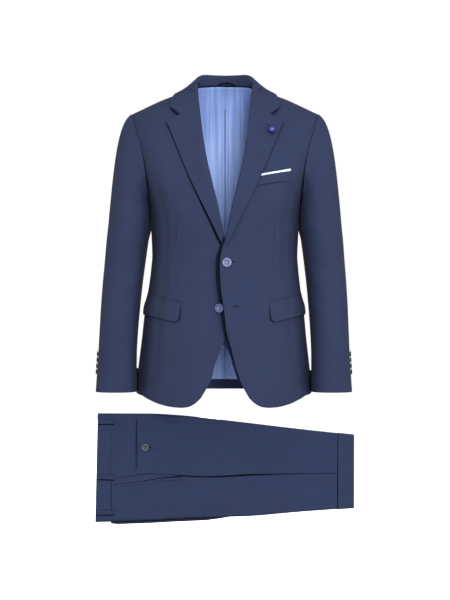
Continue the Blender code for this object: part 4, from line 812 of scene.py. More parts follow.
def backPlaces(low):
    around = np.concatenate([[joins["back"], 1.29], np.linspace(1.34, 2, 46)])
    farTurn, farHeight = sideEdge(low, "backTurn", 80, around)
    rows = (farHeight - farHeight[0]) / (farHeight[-1] - farHeight[0])
    neck = collarCut["line"]
    near = pair(np.ones(len(rows)), low + (neck["baseZ"][0] - low) * rows)
    tip, neckPoint = frontCut["shoulderTip"], frontCut["neckPoint"]
    columns = np.concatenate([np.linspace(0, neckPoint / tip, 18), np.linspace(neckPoint / tip, 1, 34)[1:]])
    bottom = pair(1 + (farTurn[0] - 1) * columns, low)
    across = tip * columns
    neckline = follow({"x": neck["baseX"][:4], "z": neck["baseZ"][:4]}, "x", "z", across)
    height = np.where(across < neckPoint, neckline, follow(shoulder, "across", "height", across))
    top = pair(turnAt(across, height, front=False), height)
    turn, height = patch(bottom, top, near, pair(farTurn, farHeight), columns, rows)
    return turn, underRidge(turn, height)


def back(side):
    turn, height = backPlaces(backCut["hem"])
    points, out = bodyAt(turn, height), normalsAt(turn, height)
    out[:, 0] *= [0, 1, 1]
    points, out = mirrored(points, side), mirrored(out, side)
    points[:, 0, 0] = 0
    folds = [(side * a, b, side * c, d, wide, deep) for a, b, c, d, wide, deep in backCut["folds"]]
    points = softFolds(points, out, folds)
    sewn, free = torso["seamSink"], frontCut["edgeRound"]
    clothPiece(f"back{ending(side).title()}", points, out, jacketCloth, torso["wall"], (sewn, sewn, free, sewn),
               f"back_{ending(side)}")


# The ease pleat at the middle of the lining and the long loose ripples beside it.
liningCut = {"pleatDeep": 0.0035, "pleatWide": 0.020, "top": 0.03,
             "ripples": [(0.014, 0.0008, 0.004), (0.024, -0.0007, 0.005), (0.037, 0.0009, 0.006),
                         (0.052, -0.0008, 0.006), (0.070, 0.0009, 0.009), (0.095, -0.0010, 0.010)]}


def lining(side):
    turn, height = backPlaces(backCut["liningHem"])
    points, out = bodyAt(turn, height), normalsAt(turn, height)
    out[:, 0] *= [0, 1, 1]
    across = np.abs(points[..., 0])
    fallen = ease(-height / liningCut["top"])
    deep = liningCut["pleatDeep"] * (1 - ease(across / liningCut["pleatWide"])) * fallen
    for place, high, wide in liningCut["ripples"]:
        drift = place * (1 + 0.35 * np.sin(7 * height + place * 90))
        deep += (high + 0.0010) * 0.5 * np.exp(-((across - drift) / wide) ** 2) * fallen
    points = points - out * (torso["wall"] + 0.0004 + deep)[..., None]
    points, out = mirrored(points, side), mirrored(gridNormals(points), side)
    points[:, 0, 0] = 0
    if out[len(out) // 2, -1] @ normalsAt(turn, height)[len(out) // 2, -1] * 1 < 0:
        out = -out
    clothPiece(f"lining{ending(side).title()}", points, out, liningCloth, backCut["liningWall"],
               (0, 0, 0.0004, 0), f"lining_{ending(side)}")


# painted shade in the fold of the lining's middle pleat, as a dark cord
level = np.linspace(-0.030, -0.640, 80)
shadeLines("pleatShade", [bodyAt(1 + 0 * level, level) - np.array([0.0, torso["wall"] + 0.0050, 0.0])],
           [np.array([0.0009, 0.0007, 0.0005, 0.0007, 0.0005])], shadedCloth)
for side in (1, -1):
    front(side)
    sidePanel(side)
    back(side)
    lining(side)
print("jacket body made")

# ---- sleeves
sleeveCut = {
    "levels": table(
        "height inner outer middle halfDepth",
        (-0.7065, 0.2056, 0.3005, -0.0380, 0.0470), (-0.6650, 0.2056, 0.2980, -0.0330, 0.0485),
        (-0.6220, 0.2055, 0.2955, -0.0280, 0.0505), (-0.5680, 0.2030, 0.2930, -0.0210, 0.0535),
        (-0.5140, 0.1986, 0.2905, -0.0140, 0.0570), (-0.4600, 0.1933, 0.2870, -0.0070, 0.0610),
        (-0.4066, 0.1866, 0.2825, -0.0010, 0.0655), (-0.3694, 0.1815, 0.2794, 0.0010, 0.0693),
        (-0.3525, 0.1790, 0.2780, 0.0020, 0.0710), (-0.3360, 0.1764, 0.2761, 0.0025, 0.0726),
        (-0.3200, 0.1758, 0.2744, 0.0030, 0.0740)),
    "capHeight": -0.3200, "seams": (0.80, 1.84), "squareness": 2.15, "gap": -0.0010,
    "lies": {"by": 0.0042, "inside": 0.212, "middle": -0.300, "half": 0.036},
    "touches": {"left": (-0.6560, -0.7050), "right": (-0.6510, -0.7050)},
    "roping": 0.0008,            # how proud the head stands beside the armhole seam
    # across the front of the sleeve: soft drags at the armpit, elbow and forearm
    "folds": [(0.205, -0.235, 0.262, -0.330, 0.012, -0.0012), (0.196, -0.300, 0.250, -0.392, 0.012, 0.0012),
              (0.196, -0.405, 0.262, -0.436, 0.011, -0.0015), (0.202, -0.452, 0.272, -0.470, 0.010, 0.0012),
              (0.206, -0.486, 0.262, -0.528, 0.011, -0.0011), (0.236, -0.560, 0.276, -0.660, 0.012, 0.0008)],
}


def sleeveRing(height, around):
    cut = sleeveCut["levels"]
    inner, outer, middle, halfDepth = (follow(cut, "height", name, height) for name in ("inner", "outer", "middle", "halfDepth"))
    exponent = 2 / sleeveCut["squareness"]
    x = (inner + outer) / 2 + (outer - inner) / 2 * signedPower(np.cos(2 * pi * around), exponent)
    y = middle - halfDepth * signedPower(np.sin(2 * pi * around), exponent)
    return np.stack([x, y, np.full(len(around), float(height))], axis=-1)


def sleeveGrid(places):
    turn, height = armholeAt(places % 2)
    around = (places % 2) / 2
    start = bodyAt(turn, height) + np.array([sleeveCut["gap"], 0, 0])
    end = sleeveRing(sleeveCut["capHeight"], around)
    top = ((1 + np.cos(2 * pi * around)) / 2)[:, None]
    tilt = np.radians(8 * top + 90 * (1 - top))
    leave = np.concatenate([np.cos(tilt), np.zeros_like(tilt), -np.sin(tilt)], axis=1)
    first = start + leave * (0.040 * top + 0.020 * (1 - top))
    arrive = np.concatenate([-0.095 * top, np.zeros_like(tilt), np.ones_like(tilt)], axis=1)
    second = end + arrive * (0.130 * top + 0.020 * (1 - top))
    rows = []
    for t in np.linspace(0, 1, 46) ** 1.25:
        rows.append((1 - t) ** 3 * start + 3 * t * (1 - t) ** 2 * first + 3 * t ** 2 * (1 - t) * second + t ** 3 * end)
    for height in np.linspace(sleeveCut["capHeight"], sleeveCut["levels"]["height"][0], 62)[1:]:
        rows.append(sleeveRing(height, around))
    return np.array(rows)


def sleevePiece(name, node, side, first, last, steps):
    places = np.linspace(first, last, steps)
    wide = np.concatenate([[2 * places[0] - places[1]], places, [2 * places[-1] - places[-2]]])
    grid = sleeveGrid(wide)
    out, points = gridNormals(grid)[:, 1:-1], grid[:, 1:-1]
    hub = sleeveGrid(np.linspace(0, 2, 24, endpoint=False)).mean(axis=1)[-1]
    if np.sum((points[-1] - hub) * out[-1]) < 0:
        out = -out
    down = np.linalg.norm(points - points[:1], axis=-1)
    head = np.cos(pi * places / 2) ** 2
    rope = sleeveCut["roping"] * np.exp(-((down - 0.006) / 0.006) ** 2) * (0.35 + 0.65 * head[None])
    points = points + out * rope[..., None]
    points = softFolds(points, out, sleeveCut["folds"])
    # under the arm the sleeve lies against the body down to where it hangs free
    close = sleeveCut["lies"]
    near = ease((close["inside"] - points[..., 0]) / 0.030) * np.exp(-((points[..., 2] - close["middle"]) / close["half"]) ** 4)
    points[..., 0] -= close["by"] * near
    sewn = torso["seamSink"]
    clothPiece(name, mirrored(points, side), mirrored(out, side), jacketCloth, torso["wall"],
               (sewn, sewn, sewn * 0.7, frontCut["edgeRound"]), node)
    skin = points[14:-3:2] - out[14:-3:2] * (torso["wall"] + 0.0002)
    clothPiece(name + "Lining", mirrored(skin, side), mirrored(out[14:-3:2], side), liningCloth, 0.0007,
               (0, 0, 0, 0.0003))


def sleeve(side):
    frontSeam, backSeam = sleeveCut["seams"]
    end = ending(side)
    sleevePiece(f"topSleeve{end.title()}", f"top_sleeve_{end}", side, backSeam - 2, frontSeam, 62)
    sleevePiece(f"underSleeve{end.title()}", f"under_sleeve_{end}", side, frontSeam, backSeam, 56)
    # painted shade: dark cords along the seam round the armhole, sunk deeper towards the armpit, and down the crease
    # below it
    around = np.linspace(0.03, 0.93, 90)
    turn, height = armholeAt(around)
    line, out = bodyAt(turn, height), normalsAt(turn, height)
    deep = 0.00035 + 0.0016 * ease((around - 0.30) / 0.45) * ease((0.95 - around) / 0.08)
    line = mirrored(line + out * (0.0003 + 0.2 * deep)[:, None] + np.array([0.0004, 0, 0]), side)
    below = mirrored(np.array([(0.1815, -0.046, -0.236), (0.1790, -0.038, -0.262), (0.1765, -0.031, -0.300), (0.1752, -0.027, -0.330)]), side)
    steps = np.linspace(0, 3, 30)
    below = np.stack([np.interp(steps, range(4), below[:, k]) for k in range(3)], axis=-1)
    shadeLines(f"armholeShade{end.title()}", [line, below], [deep, np.array([0.0020, 0.0036, 0.0036, 0.0010])])
    # painted shade in the gap where the lower sleeve hangs against the body, as a dark cord
    low = np.linspace(*sleeveCut["touches"][end], 24)
    line = np.stack([follow(sleeveCut["levels"], "height", "inner", low) - 0.0018, 0 * low - 0.036, low], axis=-1)
    shadeLines(f"cuffShade{end.title()}", [mirrored(line, side)], [np.array([0.0020, 0.0036, 0.0036, 0.0030, 0.0018])])


for side in (1, -1):
    sleeve(side)
print("sleeves made")


# ---- collar and lapels
def raised(point, lift):
    across, forward, height = point
    seam = follow(shoulder, "across", "backOfSide", abs(across))
    turn = turnAt(across, height, front=bool(forward < seam))
    return point + normalsAt(turn, height - 1e-5) * lift


def collarStation(along):
    cut = collarCut
    baseX, baseZ, rise, lean, edgeX, edgeY = (
        float(follow(cut["line"], "along", name, along)) for name in ("baseX", "baseZ", "rise", "lean", "edgeX", "edgeY"))
    base = bodyAt(turnAt(baseX, baseZ, front=along >= cut["neckStation"] + 1e-6), baseZ)
    away = np.array([edgeX - base[0], edgeY - base[1], 0.0])
    away = away / np.linalg.norm(away)
    up = np.array([0, 0, rise]) - away * lean
    up = up / np.linalg.norm(up)
    out = away - up * np.dot(away, up)
    out = out / np.linalg.norm(out)
    radius = cut["foldRadius"] - 0.0012 * max(0.0, along - cut["neckStation"]) / (1 - cut["neckStation"])
    foot = base + up * cut["standOver"] - out * cut["standInside"]
    edge = raised(bodyOver(np.array(edgeX), np.array(edgeY)), cut["lies"])
    return foot, up, out, rise, radius, edge


def collar():
    rows = []
    cut = collarCut
    alongs = np.concatenate([np.linspace(0, 0.86, 40), np.linspace(0.88, 1.0, 15)])
    for along in alongs:
        foot, up, out, rise, radius, edge = collarStation(along)
        crown = foot + up * (rise - radius)
        hub = crown + out * radius
        line = [foot + (crown - foot) * t for t in np.linspace(0, 1, 8)]
        for angle in np.linspace(0, 140, 13)[1:]:
            bend = np.radians(angle)
            line.append(hub - out * radius * np.cos(bend) + up * radius * np.sin(bend))
        last = line[-1]
        lead = last + (out * 0.62 - up * 0.78) * np.linalg.norm(edge - last) * 0.40
        laid = ease((along - cut["neckStation"]) / 0.35)
        for t in np.linspace(0, 1, 18)[1:]:
            free = (1 - t) ** 2 * last + 2 * t * (1 - t) * lead + t ** 2 * edge
            level = last + (edge - last) * t
            lying = raised(bodyAt(turnAt(level[0], level[2]), level[2]), cut["lies"])
            line.append(free + (lying - free) * laid * ease(t / 0.3) * (1 - t ** 6))
        rows.append(line)
    half = np.array(rows)
    # its end runs down over the top of the lapel
    ahead = half[-1] - half[-2]
    ahead = ahead / np.linalg.norm(ahead, axis=-1, keepdims=True)
    start, notch = np.array([frontCut["roll"]["across"][-2], lapelCut["gorge"]]), np.array(lapelCut["notch"])
    down = np.array([(notch - start)[1], (start - notch)[0]]) / np.linalg.norm(notch - start)
    short = (start - half[-1][:, (0, 2)]) @ down + cut["overLapel"]
    reach = np.clip(short / np.maximum(ahead[:, (0, 2)] @ down, 0.25), 0.0005, 0.012)
    for share in (0.5, 1.0):
        beyond = half[len(alongs) - 1] + ahead * (reach * share)[:, None]
        for k in range(20, len(beyond)):
            across, level = beyond[k, 0], beyond[k, 2]
            beyond[k] = raised(bodyAt(turnAt(across, level), level), cut["lies"])
        half = np.concatenate([half, beyond[None]])
    points = np.concatenate([mirrored(half[:0:-1], -1), half])
    out = gridNormals(points)
    if out[len(half) - 1, 12, 2] < 0:
        out = -out
    free = 0.0011
    clothPiece("collarCloth", points, out, jacketCloth, cut["wall"], (0.0004, free, 0.0003, 0.0003), "collar")


lapelCut = {
    "edge": table(
        "height across",
        (-0.3680, 0.0030), (-0.3574, 0.0110), (-0.3300, 0.0240), (-0.2700, 0.0530), (-0.2124, 0.0810),
        (-0.1500, 0.1070), (-0.1100, 0.1235), (-0.0800, 0.1365)),
    "gorge": -0.0235, "notch": (0.1080, -0.0668), "tip": (0.1365, -0.0800),
    "wall": 0.0026, "roll": 0.0030, "rollRound": 0.0032, "liesOver": 0.0007,
    "edgeLift": 0.0016,          # how far the outer edge stands off the chest
    "lowerBreak": 0.0045,        # the covered lapel starts this much further over
}


def lapel(side):
    cut, roll = lapelCut, frontCut["roll"]
    columns = np.linspace(0, 1, 45) ** 1.25
    rows = np.linspace(0, 1, 90)
    low = cut["edge"]["height"][0]
    height = low + (cut["gorge"] - low) * rows
    across = follow(roll, "height", "across", height) + 0.0004
    if side < 0:
        across = across + cut["lowerBreak"] * ease((-0.345 - height) / 0.012)
    near = pair(across, height)
    height = low + (cut["tip"][1] - low) * rows
    far = pair(np.maximum(follow(cut["edge"], "height", "across", height), across[0] + 0.0022), height)
    bottom = near[0] + (far[0] - near[0]) * columns[:, None]
    notch = np.array(cut["notch"])
    corner = int(np.argmin(np.abs(columns - 0.6)))
    gorge = columns[:corner + 1, None] / columns[corner]
    step = (columns[corner + 1:, None] - columns[corner]) / (1 - columns[corner])
    top = np.concatenate([near[-1] + (notch - near[-1]) * gorge, notch + (far[-1] - notch) * step])
    across, height = patch(bottom, top, near, far, columns, rows)
    turn = turnAt(across, height)
    stations = {"at": np.array([0, 0.06, 0.16, 0.35, 0.6, 0.82, 1.0]), "roll": np.array([0, 0.7, 1.0, 0.75, 0.35, 0.1, 0])}
    fullness = follow(stations, "at", "roll", columns) * ease(rows[:, None] / 0.06 + 0.15)
    thin = ease(rows[:, None] / 0.05 + 0.3)
    wall = (cut["wall"] + fullness * cut["roll"] * 0.6) * thin
    lift = cut["liesOver"] + fullness * cut["roll"] * 0.25
    standing = ease((columns - 0.55) / 0.45)[None] * ease((rows[:, None] - 0.02) / 0.2)
    lift = lift + cut["edgeLift"] * standing
    flush = ease((rows[:, None] - 0.90) / 0.08) * ease((0.66 - columns[None]) / 0.04)
    lift = lift + (collarCut["lies"] - 0.0001 - wall - lift) * flush
    inner, out = onFront(side, turn, height, lift)
    outer = inner + out * wall[..., None]
    free = 0.0011
    # the roll, where the lapel turns over from inside the front
    inward = outer[:, :1] - outer[:, 1:2]
    inward = inward / np.linalg.norm(inward, axis=-1, keepdims=True)
    square = out[:, :1] - inward * np.sum(out[:, :1] * inward, axis=-1, keepdims=True)
    square = square / np.linalg.norm(square, axis=-1, keepdims=True)
    radius = cut["rollRound"] * (0.35 + 0.65 * ease(rows / 0.12))[:, None, None]
    bend = np.radians(np.array([118, 100, 82, 65, 48, 32, 16]))[None, :, None]
    fold = outer[:, :1] + inward * radius * np.sin(bend) - square * radius * (1 - np.cos(bend))
    foldOut = square * np.cos(bend) + inward * np.sin(bend)
    whole, wholeOut = np.concatenate([fold, outer], axis=1), np.concatenate([foldOut, out], axis=1)
    clothPiece(f"lapel{ending(side).title()}", whole, wholeOut, jacketCloth, cut["wall"] * 0.95,
               (0.0003, free, 0.0004, 0.0004), f"lapel_{ending(side)}")
    # painted shade in the gap under its outer edge, widest low down on the covered side
    low, high = (0.0036, 0.0010) if side < 0 else (0.0005, 0.0003)
    spread = low + (high - low) * ease(np.linspace(0, 1, 88) / 0.8)
    under = outer[:88, -1] - out[:88, -1] * (wall[:88, -1] + lift[:88, -1])[:, None]
    away = outer[:88, -1] - outer[:88, -3]
    away = away / np.linalg.norm(away, axis=-1, keepdims=True)
    shadeLines(f"lapelShade{ending(side).title()}", [under + away * spread[:, None] * 0.7], [spread])
    # pick stitches, 2 mm inside the edge, from the break up to the tip
    inset = np.interp(0.0022, np.linalg.norm(outer[40] - outer[40, -1], axis=-1)[::-1], np.arange(45)[::-1])
    k = int(round(inset))
    return stitches(outer[6:-1, k], out[6:-1, k], 0.0042, 0.0011, 0.0002)


def collarShades():
    # painted shade, as dark cords: in the notch on each side, at the foot of the stand, and in the corners where the
    # stand turns into the lapels
    for side, size in ((1, 0.0006), (-1, 0.0009)):
        t = np.linspace(0, 1, 24)
        across, height = 0.1085 + 0.0185 * t, -0.0668 + 0.0180 * t
        line, out = onFront(side, turnAt(across, height), height, 0.0026)
        shadeLines(f"notchShade{ending(side).title()}", [line], [size * np.array([0.8, 1.0, 0.9, 0.5])])
    feet, corners = [], {1: [], -1: []}
    for along in np.linspace(-0.52, 0.52, 60):
        foot, up, out = collarStation(abs(along))[:3]
        feet.append((foot - out * 0.0022 - up * 0.0006) * [np.sign(along), 1, 1])
    foot, up, out, rise = collarStation(0.485)[:4]
    for side in (1, -1):
        corners[side] = [(foot - out * 0.0004 + up * rise * t) * [side, 1, 1] for t in np.linspace(-0.04, 0.52, 20)]
    shadeLines("standFootShade", [feet], [0.0013])
    shadeLines("standCornerShade", [corners[1], corners[-1]], [np.array([0.0042, 0.0036, 0.0008])] * 2, shadedCloth)


collar()
collarShades()
pickStitches = lapel(1) + lapel(-1)
threadRun("lapelPickStitches", pickStitches, 0.00022, navyThread)
print("collar and lapels made")

# ---- pockets
flapCut = {"across": 0.1005, "height": -0.4980, "rise": 0.21, "length": 0.142, "drop": 0.0475, "corner": 0.012,
           "wall": 0.0024, "liesOver": (-0.0013, 0.0022),      # at its sewn top and at its free lower edge
           "jet": 0.0042, "jetWall": 0.0007}
weltCut = {"inner": 0.0855, "outer": 0.1500, "height": -0.2330, "rise": 0.200, "tall": 0.0225, "lean": 0.12,
           "offLapel": 0.0002, "wall": 0.0022, "squareShows": 0.0048, "squareWall": 0.0013}


def aroundSide(start, height, lengths):
    # turns at lengths round the body from a place on the front, and how far across each has got
    fine = np.linspace(turnAt(start, height), 0.60, 600)
    trail = bodyAt(fine, height + np.zeros_like(fine))
    travelled = np.concatenate([[0], np.cumsum(np.linalg.norm(np.diff(trail, axis=0), axis=1))])
    return np.interp(lengths, travelled, fine), np.interp(lengths, travelled, trail[:, 0]) - start


def flap(side):
    cut = flapCut
    along = cut["length"] * ease(np.linspace(0, 1, 60) * 0.8 + 0.1)
    along = cut["length"] * (along - along[0]) / (along[-1] - along[0])
    nearEnd = np.minimum(along, cut["length"] - along)
    corner = cut["corner"]
    short = corner - np.sqrt(np.clip(corner ** 2 - np.clip(corner - nearEnd, 0, corner) ** 2, 0, None))
    turn, across = aroundSide(cut["across"], cut["height"], along)
    down = np.linspace(0, 1, 26)[:, None]
    height = cut["height"] + cut["rise"] * across[None] - down * (cut["drop"] - short)[None]
    flush, free = cut["liesOver"]
    lift = flush + (free - flush) * ease(down / 0.9) + 0 * height
    base, out = onFront(side, turn[None] + 0 * height, height, lift)
    name = ending(side)
    clothPiece(f"flap{name.title()}", base + out * cut["wall"], out, jacketCloth, cut["wall"],
               (0.0010, 0.0010, 0.0006, 0.0011), f"flap_{name}")
    # painted shade under the flap's free edges and along its top, as dark cords
    under = base - out * lift[..., None]
    rim = np.concatenate([under[4:, 0], under[-1, 1:]])
    shadeLines(f"flapShade{name.title()}", [rim], [np.array([0.0004, 0.0006, 0.0011, 0.0010, 0.0008, 0.0008, 0.0006])])
    top = cut["height"] + cut["rise"] * across + 0.0002
    line, ways = onFront(side, turn, top, 0.0009)
    shadeLines(f"flapTopShade{name.title()}", [line], [np.array([0.0006, 0.0004, 0.0003, 0.0003, 0.0004])], shadedCloth)
    # the jet that the flap comes out of
    up = np.linspace(0, 1, 6)[:, None]
    height = cut["height"] + cut["rise"] * across[None] + 0.0003 + up * cut["jet"]
    base, out = onFront(side, turn[None] + 0 * height, height, -0.0001)
    clothPiece(f"flapJet{name.title()}", base + out * cut["jetWall"], out, jacketCloth, cut["jetWall"],
               (0.0006, 0.0006, 0.0006, 0.0006))
    line, ways = base[4] + out[4] * cut["jetWall"], out[4]
    return stitches(line, ways, 0.0034, 0.0020, 0.00018)


def chestPiece(name, node, low, tall, rows, wall, material, lean=0.0):
    cut = weltCut
    across = cut["inner"] + (cut["outer"] - cut["inner"]) * np.linspace(0, 1, 40)
    floor = cut["height"] + cut["rise"] * (across - cut["inner"])
    rise = low + np.linspace(0, 1, rows)[:, None] * tall
    height = floor[None] + rise
    near = follow(lapelCut["edge"], "height", "across", height[:, :1]) + cut["offLapel"]
    far = cut["outer"] + cut["lean"] * (rise - cut["tall"])
    place = near + (far - near) * np.linspace(0, 1, 40)
    inner, out = onFront(1, turnAt(place, height), height, 0.0007 + lean)
    half = wall * 0.45
    clothPiece(name, inner + out * wall, out, material, wall, (half, half, half, half), node)
    return inner + out * wall, out


flapStitches = flap(1) + flap(-1)
weltFace, weltOut = chestPiece("breastWelt", "breast_welt", 0.0, weltCut["tall"], 20, weltCut["wall"], jacketCloth)
chestPiece("pocketSquare", "pocket_square", weltCut["tall"] - 0.0020, weltCut["squareShows"] + 0.0022, 9,
           weltCut["squareWall"], squareCloth, -0.0004)
flapStitches += stitches(weltFace[2:-2, 1], weltOut[2:-2, 1], 0.0034, 0.0020, 0.00018)
flapStitches += stitches(weltFace[2:-2, -2], weltOut[2:-2, -2], 0.0034, 0.0020, 0.00018)
threadRun("pocketStitches", flapStitches, 0.00022, navyThread)
print("jacket pockets made")

# ---- buttons and their holes
frontButtons = {"upper": (0.0045, -0.4080), "lower": (-0.0136, -0.5120), "width": 0.0200}
cuffButtons = {"lowest": -0.6606, "pitch": 0.0138, "count": 4, "width": 0.0135}


def fourHoleButton(name, centre, axis, width, material, replaces, rimMaterial=None):
    r, thick = width / 2, width * 0.17
    profile = [(0, 0), (r * 0.60, 0), (r * 0.86, thick * 0.22), (r * 0.985, thick * 0.52), (r, thick * 0.66),
               (r * 0.975, thick * 0.84), (r * 0.92, thick * 0.96), (r * 0.86, thick), (r * 0.79, thick * 0.95),
               (r * 0.73, thick * 0.80), (r * 0.66, thick * 0.68), (r * 0.40, thick * 0.60), (0, thick * 0.58)]
    roundPiece(name, centre, axis, profile, 56, material, replaces, rimMaterial and (rimMaterial, 2, 7))
    axis = np.asarray(axis, float) / np.linalg.norm(axis)
    across = np.cross(axis, [0.0, 0.0, 1.0])
    across = across / np.linalg.norm(across)
    up = np.cross(across, axis)
    face = centre + axis * thick * 0.62
    spread = r * 0.24
    for k, (a, b) in enumerate(((1, 1), (1, -1), (-1, 1), (-1, -1))):
        hole = face + (across * a + up * b) * spread
        # each hole is plugged with a near-black disc: partly the thread in it, partly painted shade
        roundPiece(f"{name}Hole{k + 1}", hole - axis * thick * 0.03, axis,
                   [(0, 0), (r * 0.10, 0), (r * 0.10, thick * 0.10), (r * 0.075, thick * 0.10), (0, thick * 0.04)], 14,
                   holeThreadAndShade)
    paths = []
    for b in (-1, 1):
        for shift in (-0.35, 0.35):
            t = np.linspace(-1, 1, 9)[:, None]
            paths.append(face + across * t * spread + up * (b * spread + shift * r * 0.06)
                         + axis * thick * 0.16 * (1 - t ** 4))
    threadRun(f"{name}Thread", paths, r * 0.035, navyThread)


for name in ("upper", "lower"):
    across, height = frontButtons[name]
    side = 1 if name == "upper" else -1
    spot, out = onFront(side, np.array([turnAt(across * side, height)]), np.array([height]), 0.0006)
    fourHoleButton(f"frontButton{name.title()}", spot[0], out[0], frontButtons["width"], litPearlButton if side > 0 else pearlButton,
                   f"front_button_{name}", pearlEdge if side > 0 else shadedPearlEdge)
for side in (1, -1):
    for k in range(cuffButtons["count"]):
        height = cuffButtons["lowest"] + cuffButtons["pitch"] * k
        spot = sleeveRing(height, np.array([0.0]))[0] + np.array([0.0006, 0, 0])
        fourHoleButton(f"cuffButton{ending(side).title()}{k + 1}", mirrored(spot, side), (side, 0, 0.05),
                       cuffButtons["width"], darkButton, f"cuff_button_{ending(side)}_{k + 1}")

# Buttonholes: a slit with a close-worked edge, on the left front, the right front and the left lapel.
buttonholes = {
    "frontUpper": {"side": 1, "start": (0.0160, -0.4065), "end": (0.0330, -0.4065), "lift": 0.0001},
    "frontLower": {"side": 1, "start": (0.0125, -0.5085), "end": (0.0330, -0.5075), "lift": 0.0001},
    "lapelHole": {"side": 1, "start": (0.0930, -0.0900), "end": (0.1060, -0.0965), "lift": 0.0044},
}


def buttonhole(name, hole):
    t = np.linspace(0, 1, 15)
    across = hole["start"][0] + (hole["end"][0] - hole["start"][0]) * t
    height = hole["start"][1] + (hole["end"][1] - hole["start"][1]) * t
    line, out = onFront(hole["side"], turnAt(across, height), height, hole["lift"])
    paths = []
    for shift in (-0.0006, 0.0006):
        paths.append(line + np.array([0, 0, shift]))
    # slit and worked edge are drawn in the near-black wool: the worked edge is real, its near-black and the slit's dark
    # are painted shade
    threadRun(f"buttonhole{name[0].upper()}{name[1:]}", [line], 0.0006, foldShadeCloth)
    threadRun(f"buttonholeEdge{name[0].upper()}{name[1:]}", paths, 0.00030, foldShadeCloth)


for name, hole in buttonholes.items():
    buttonhole(name, hole)
print("buttons made")

# ---- lapel pin and hanger loop
pin = {"across": 0.1068, "height": -0.1064, "ball": 0.0078, "stud": 0.0012, "lift": 0.0045}
spot, out = onFront(1, np.array([turnAt(pin["across"], pin["height"])]), np.array([pin["height"]]), pin["lift"])
ballHigh = pin["stud"] + pin["ball"] * 0.8
profile = [(0, 0), (pin["ball"] * 0.55, 0), (pin["ball"] * 0.55, pin["stud"])]
for angle in np.linspace(-52, 84, 22):
    profile.append((pin["ball"] * np.cos(radians(angle)), ballHigh + pin["ball"] * np.sin(radians(angle))))
profile.append((0, ballHigh + pin["ball"]))
roundPiece("lapelPin", spot[0], out[0], profile, 40, pinEnamel, "lapel_pin")

hanger = {"middle": 0.0035, "half": 0.0195, "low": 0.0008, "rise": 0.0056, "offCollar": 0.0014, "wide": 0.0028, "wall": 0.0012}


def hangerLoop():
    perStation = collarCut["line"]["along"][1] / collarCut["line"]["baseX"][1]
    path = []
    for t in np.linspace(0, 1, 34):
        x = hanger["middle"] + hanger["half"] * (2 * t - 1)
        foot, up, out = collarStation(abs(x) * perStation)[:3]
        foot[0] = x
        path.append(foot + up * (hanger["low"] + hanger["rise"] * np.sin(pi * t) ** 0.55) - out * [0, hanger["offCollar"], 0])
    path = np.array(path)
    along = np.gradient(path, axis=0)
    along = along / np.linalg.norm(along, axis=1, keepdims=True)
    toward = np.array([0.0, -1.0, 0.0])
    wide = np.cross(along, toward) * hanger["wide"] / 2
    shares = np.linspace(-1, 1, 7)
    points = np.stack([path + wide * s + toward * hanger["wall"] for s in shares], axis=1)
    out = np.broadcast_to(toward, points.shape).copy()
    # the loop is drawn in the near-black wool: its dark is painted shade under and round it
    clothPiece("hangerLoop", points, out, foldShadeCloth, hanger["wall"], (0.0005,) * 4, "hanger_loop")


hangerLoop()
print("pin and hanger loop made")

# The left sleeve hangs a little nearer than the right one, and the left side gives way to it.
leftNearer = {"by": 0.0050, "fromHeight": -0.250, "over": 0.450, "fromAcross": 0.100, "wide": 0.090}


def bringLeftNearer(points):
    low = ease((leftNearer["fromHeight"] - points[:, 2]) / leftNearer["over"])
    far = ease((points[:, 0] - leftNearer["fromAcross"]) / leftNearer["wide"])
    points[:, 0] -= leftNearer["by"] * low * far


movePieces(made, bringLeftNearer)
jacketCount = len(made)

# ---- trousers, folded along their creases
packet = {
    "line": table(
        "across upper lower seam half",
        (-0.3010, -0.7602, -1.0140, -0.9110, 0.0135), (-0.2420, -0.7604, -1.0123, -0.9097, 0.0132),
        (-0.1770, -0.7607, -1.0100, -0.9008, 0.0129), (-0.1058, -0.7645, -1.0062, -0.9035, 0.0125),
        (-0.0300, -0.7728, -1.0032, -0.9065, 0.0119), (0.0500, -0.7820, -1.0009, -0.9035, 0.0113),
        (0.1763, -0.7969, -0.9905, -0.9001, 0.0106), (0.3028, -0.8105, -0.9814, -0.8993, 0.0100)),
    "legWall": 0.0016, "bandWall": 0.0020, "turnUpWall": 0.0018, "waistBand": 0.0345, "turnUp": 0.0380,
    "bandStands": 0.0006, "turnUpStands": 0.0008, "foldSpace": 0.0006,
    # how far the far leg peeps out below the near one, and where along the packet
    "underLeg": {"shows": 0.0088, "starts": -0.300, "fullFrom": -0.250, "fullTo": -0.055, "ends": 0.040},
    # where the back of the leg laps a little over its front along the side seam
    "lap": {"at": -0.070, "wide": 0.085, "over": 0.0016, "sink": 0.0020, "reach": 0.016},
    "folds": [(-0.240, -0.8250, -0.110, -0.8700, 0.014, -0.0008), (-0.235, -0.955, -0.080, -0.9300, 0.012, -0.0009),
              (-0.020, -0.8300, 0.120, -0.8500, 0.018, 0.0008), (-0.120, -0.985, 0.040, -0.955, 0.014, 0.0008),
              (0.080, -0.940, 0.230, -0.930, 0.014, -0.0006)],
}
waistEnd, legEnd = packet["line"]["across"][0], packet["line"]["across"][-1]
foldAngles = np.linspace(0, 180, 17)[1:]


def packetAt(across, name):
    return float(follow(packet["line"], "across", name, across))


def crease(half, edge, part):
    radius = (half - packet["foldSpace"]) / 2
    stop = edge - part * radius
    bend = np.radians(foldAngles)
    return np.stack([-half + radius - radius * np.cos(bend), stop + part * radius * np.sin(bend)], axis=-1), stop


def flatSide(half, start, stop, steps):
    return np.stack([np.full(steps, -half), np.linspace(start, stop, steps)], axis=-1)


def section(across, line):
    return np.insert(line, 0, across, axis=1)


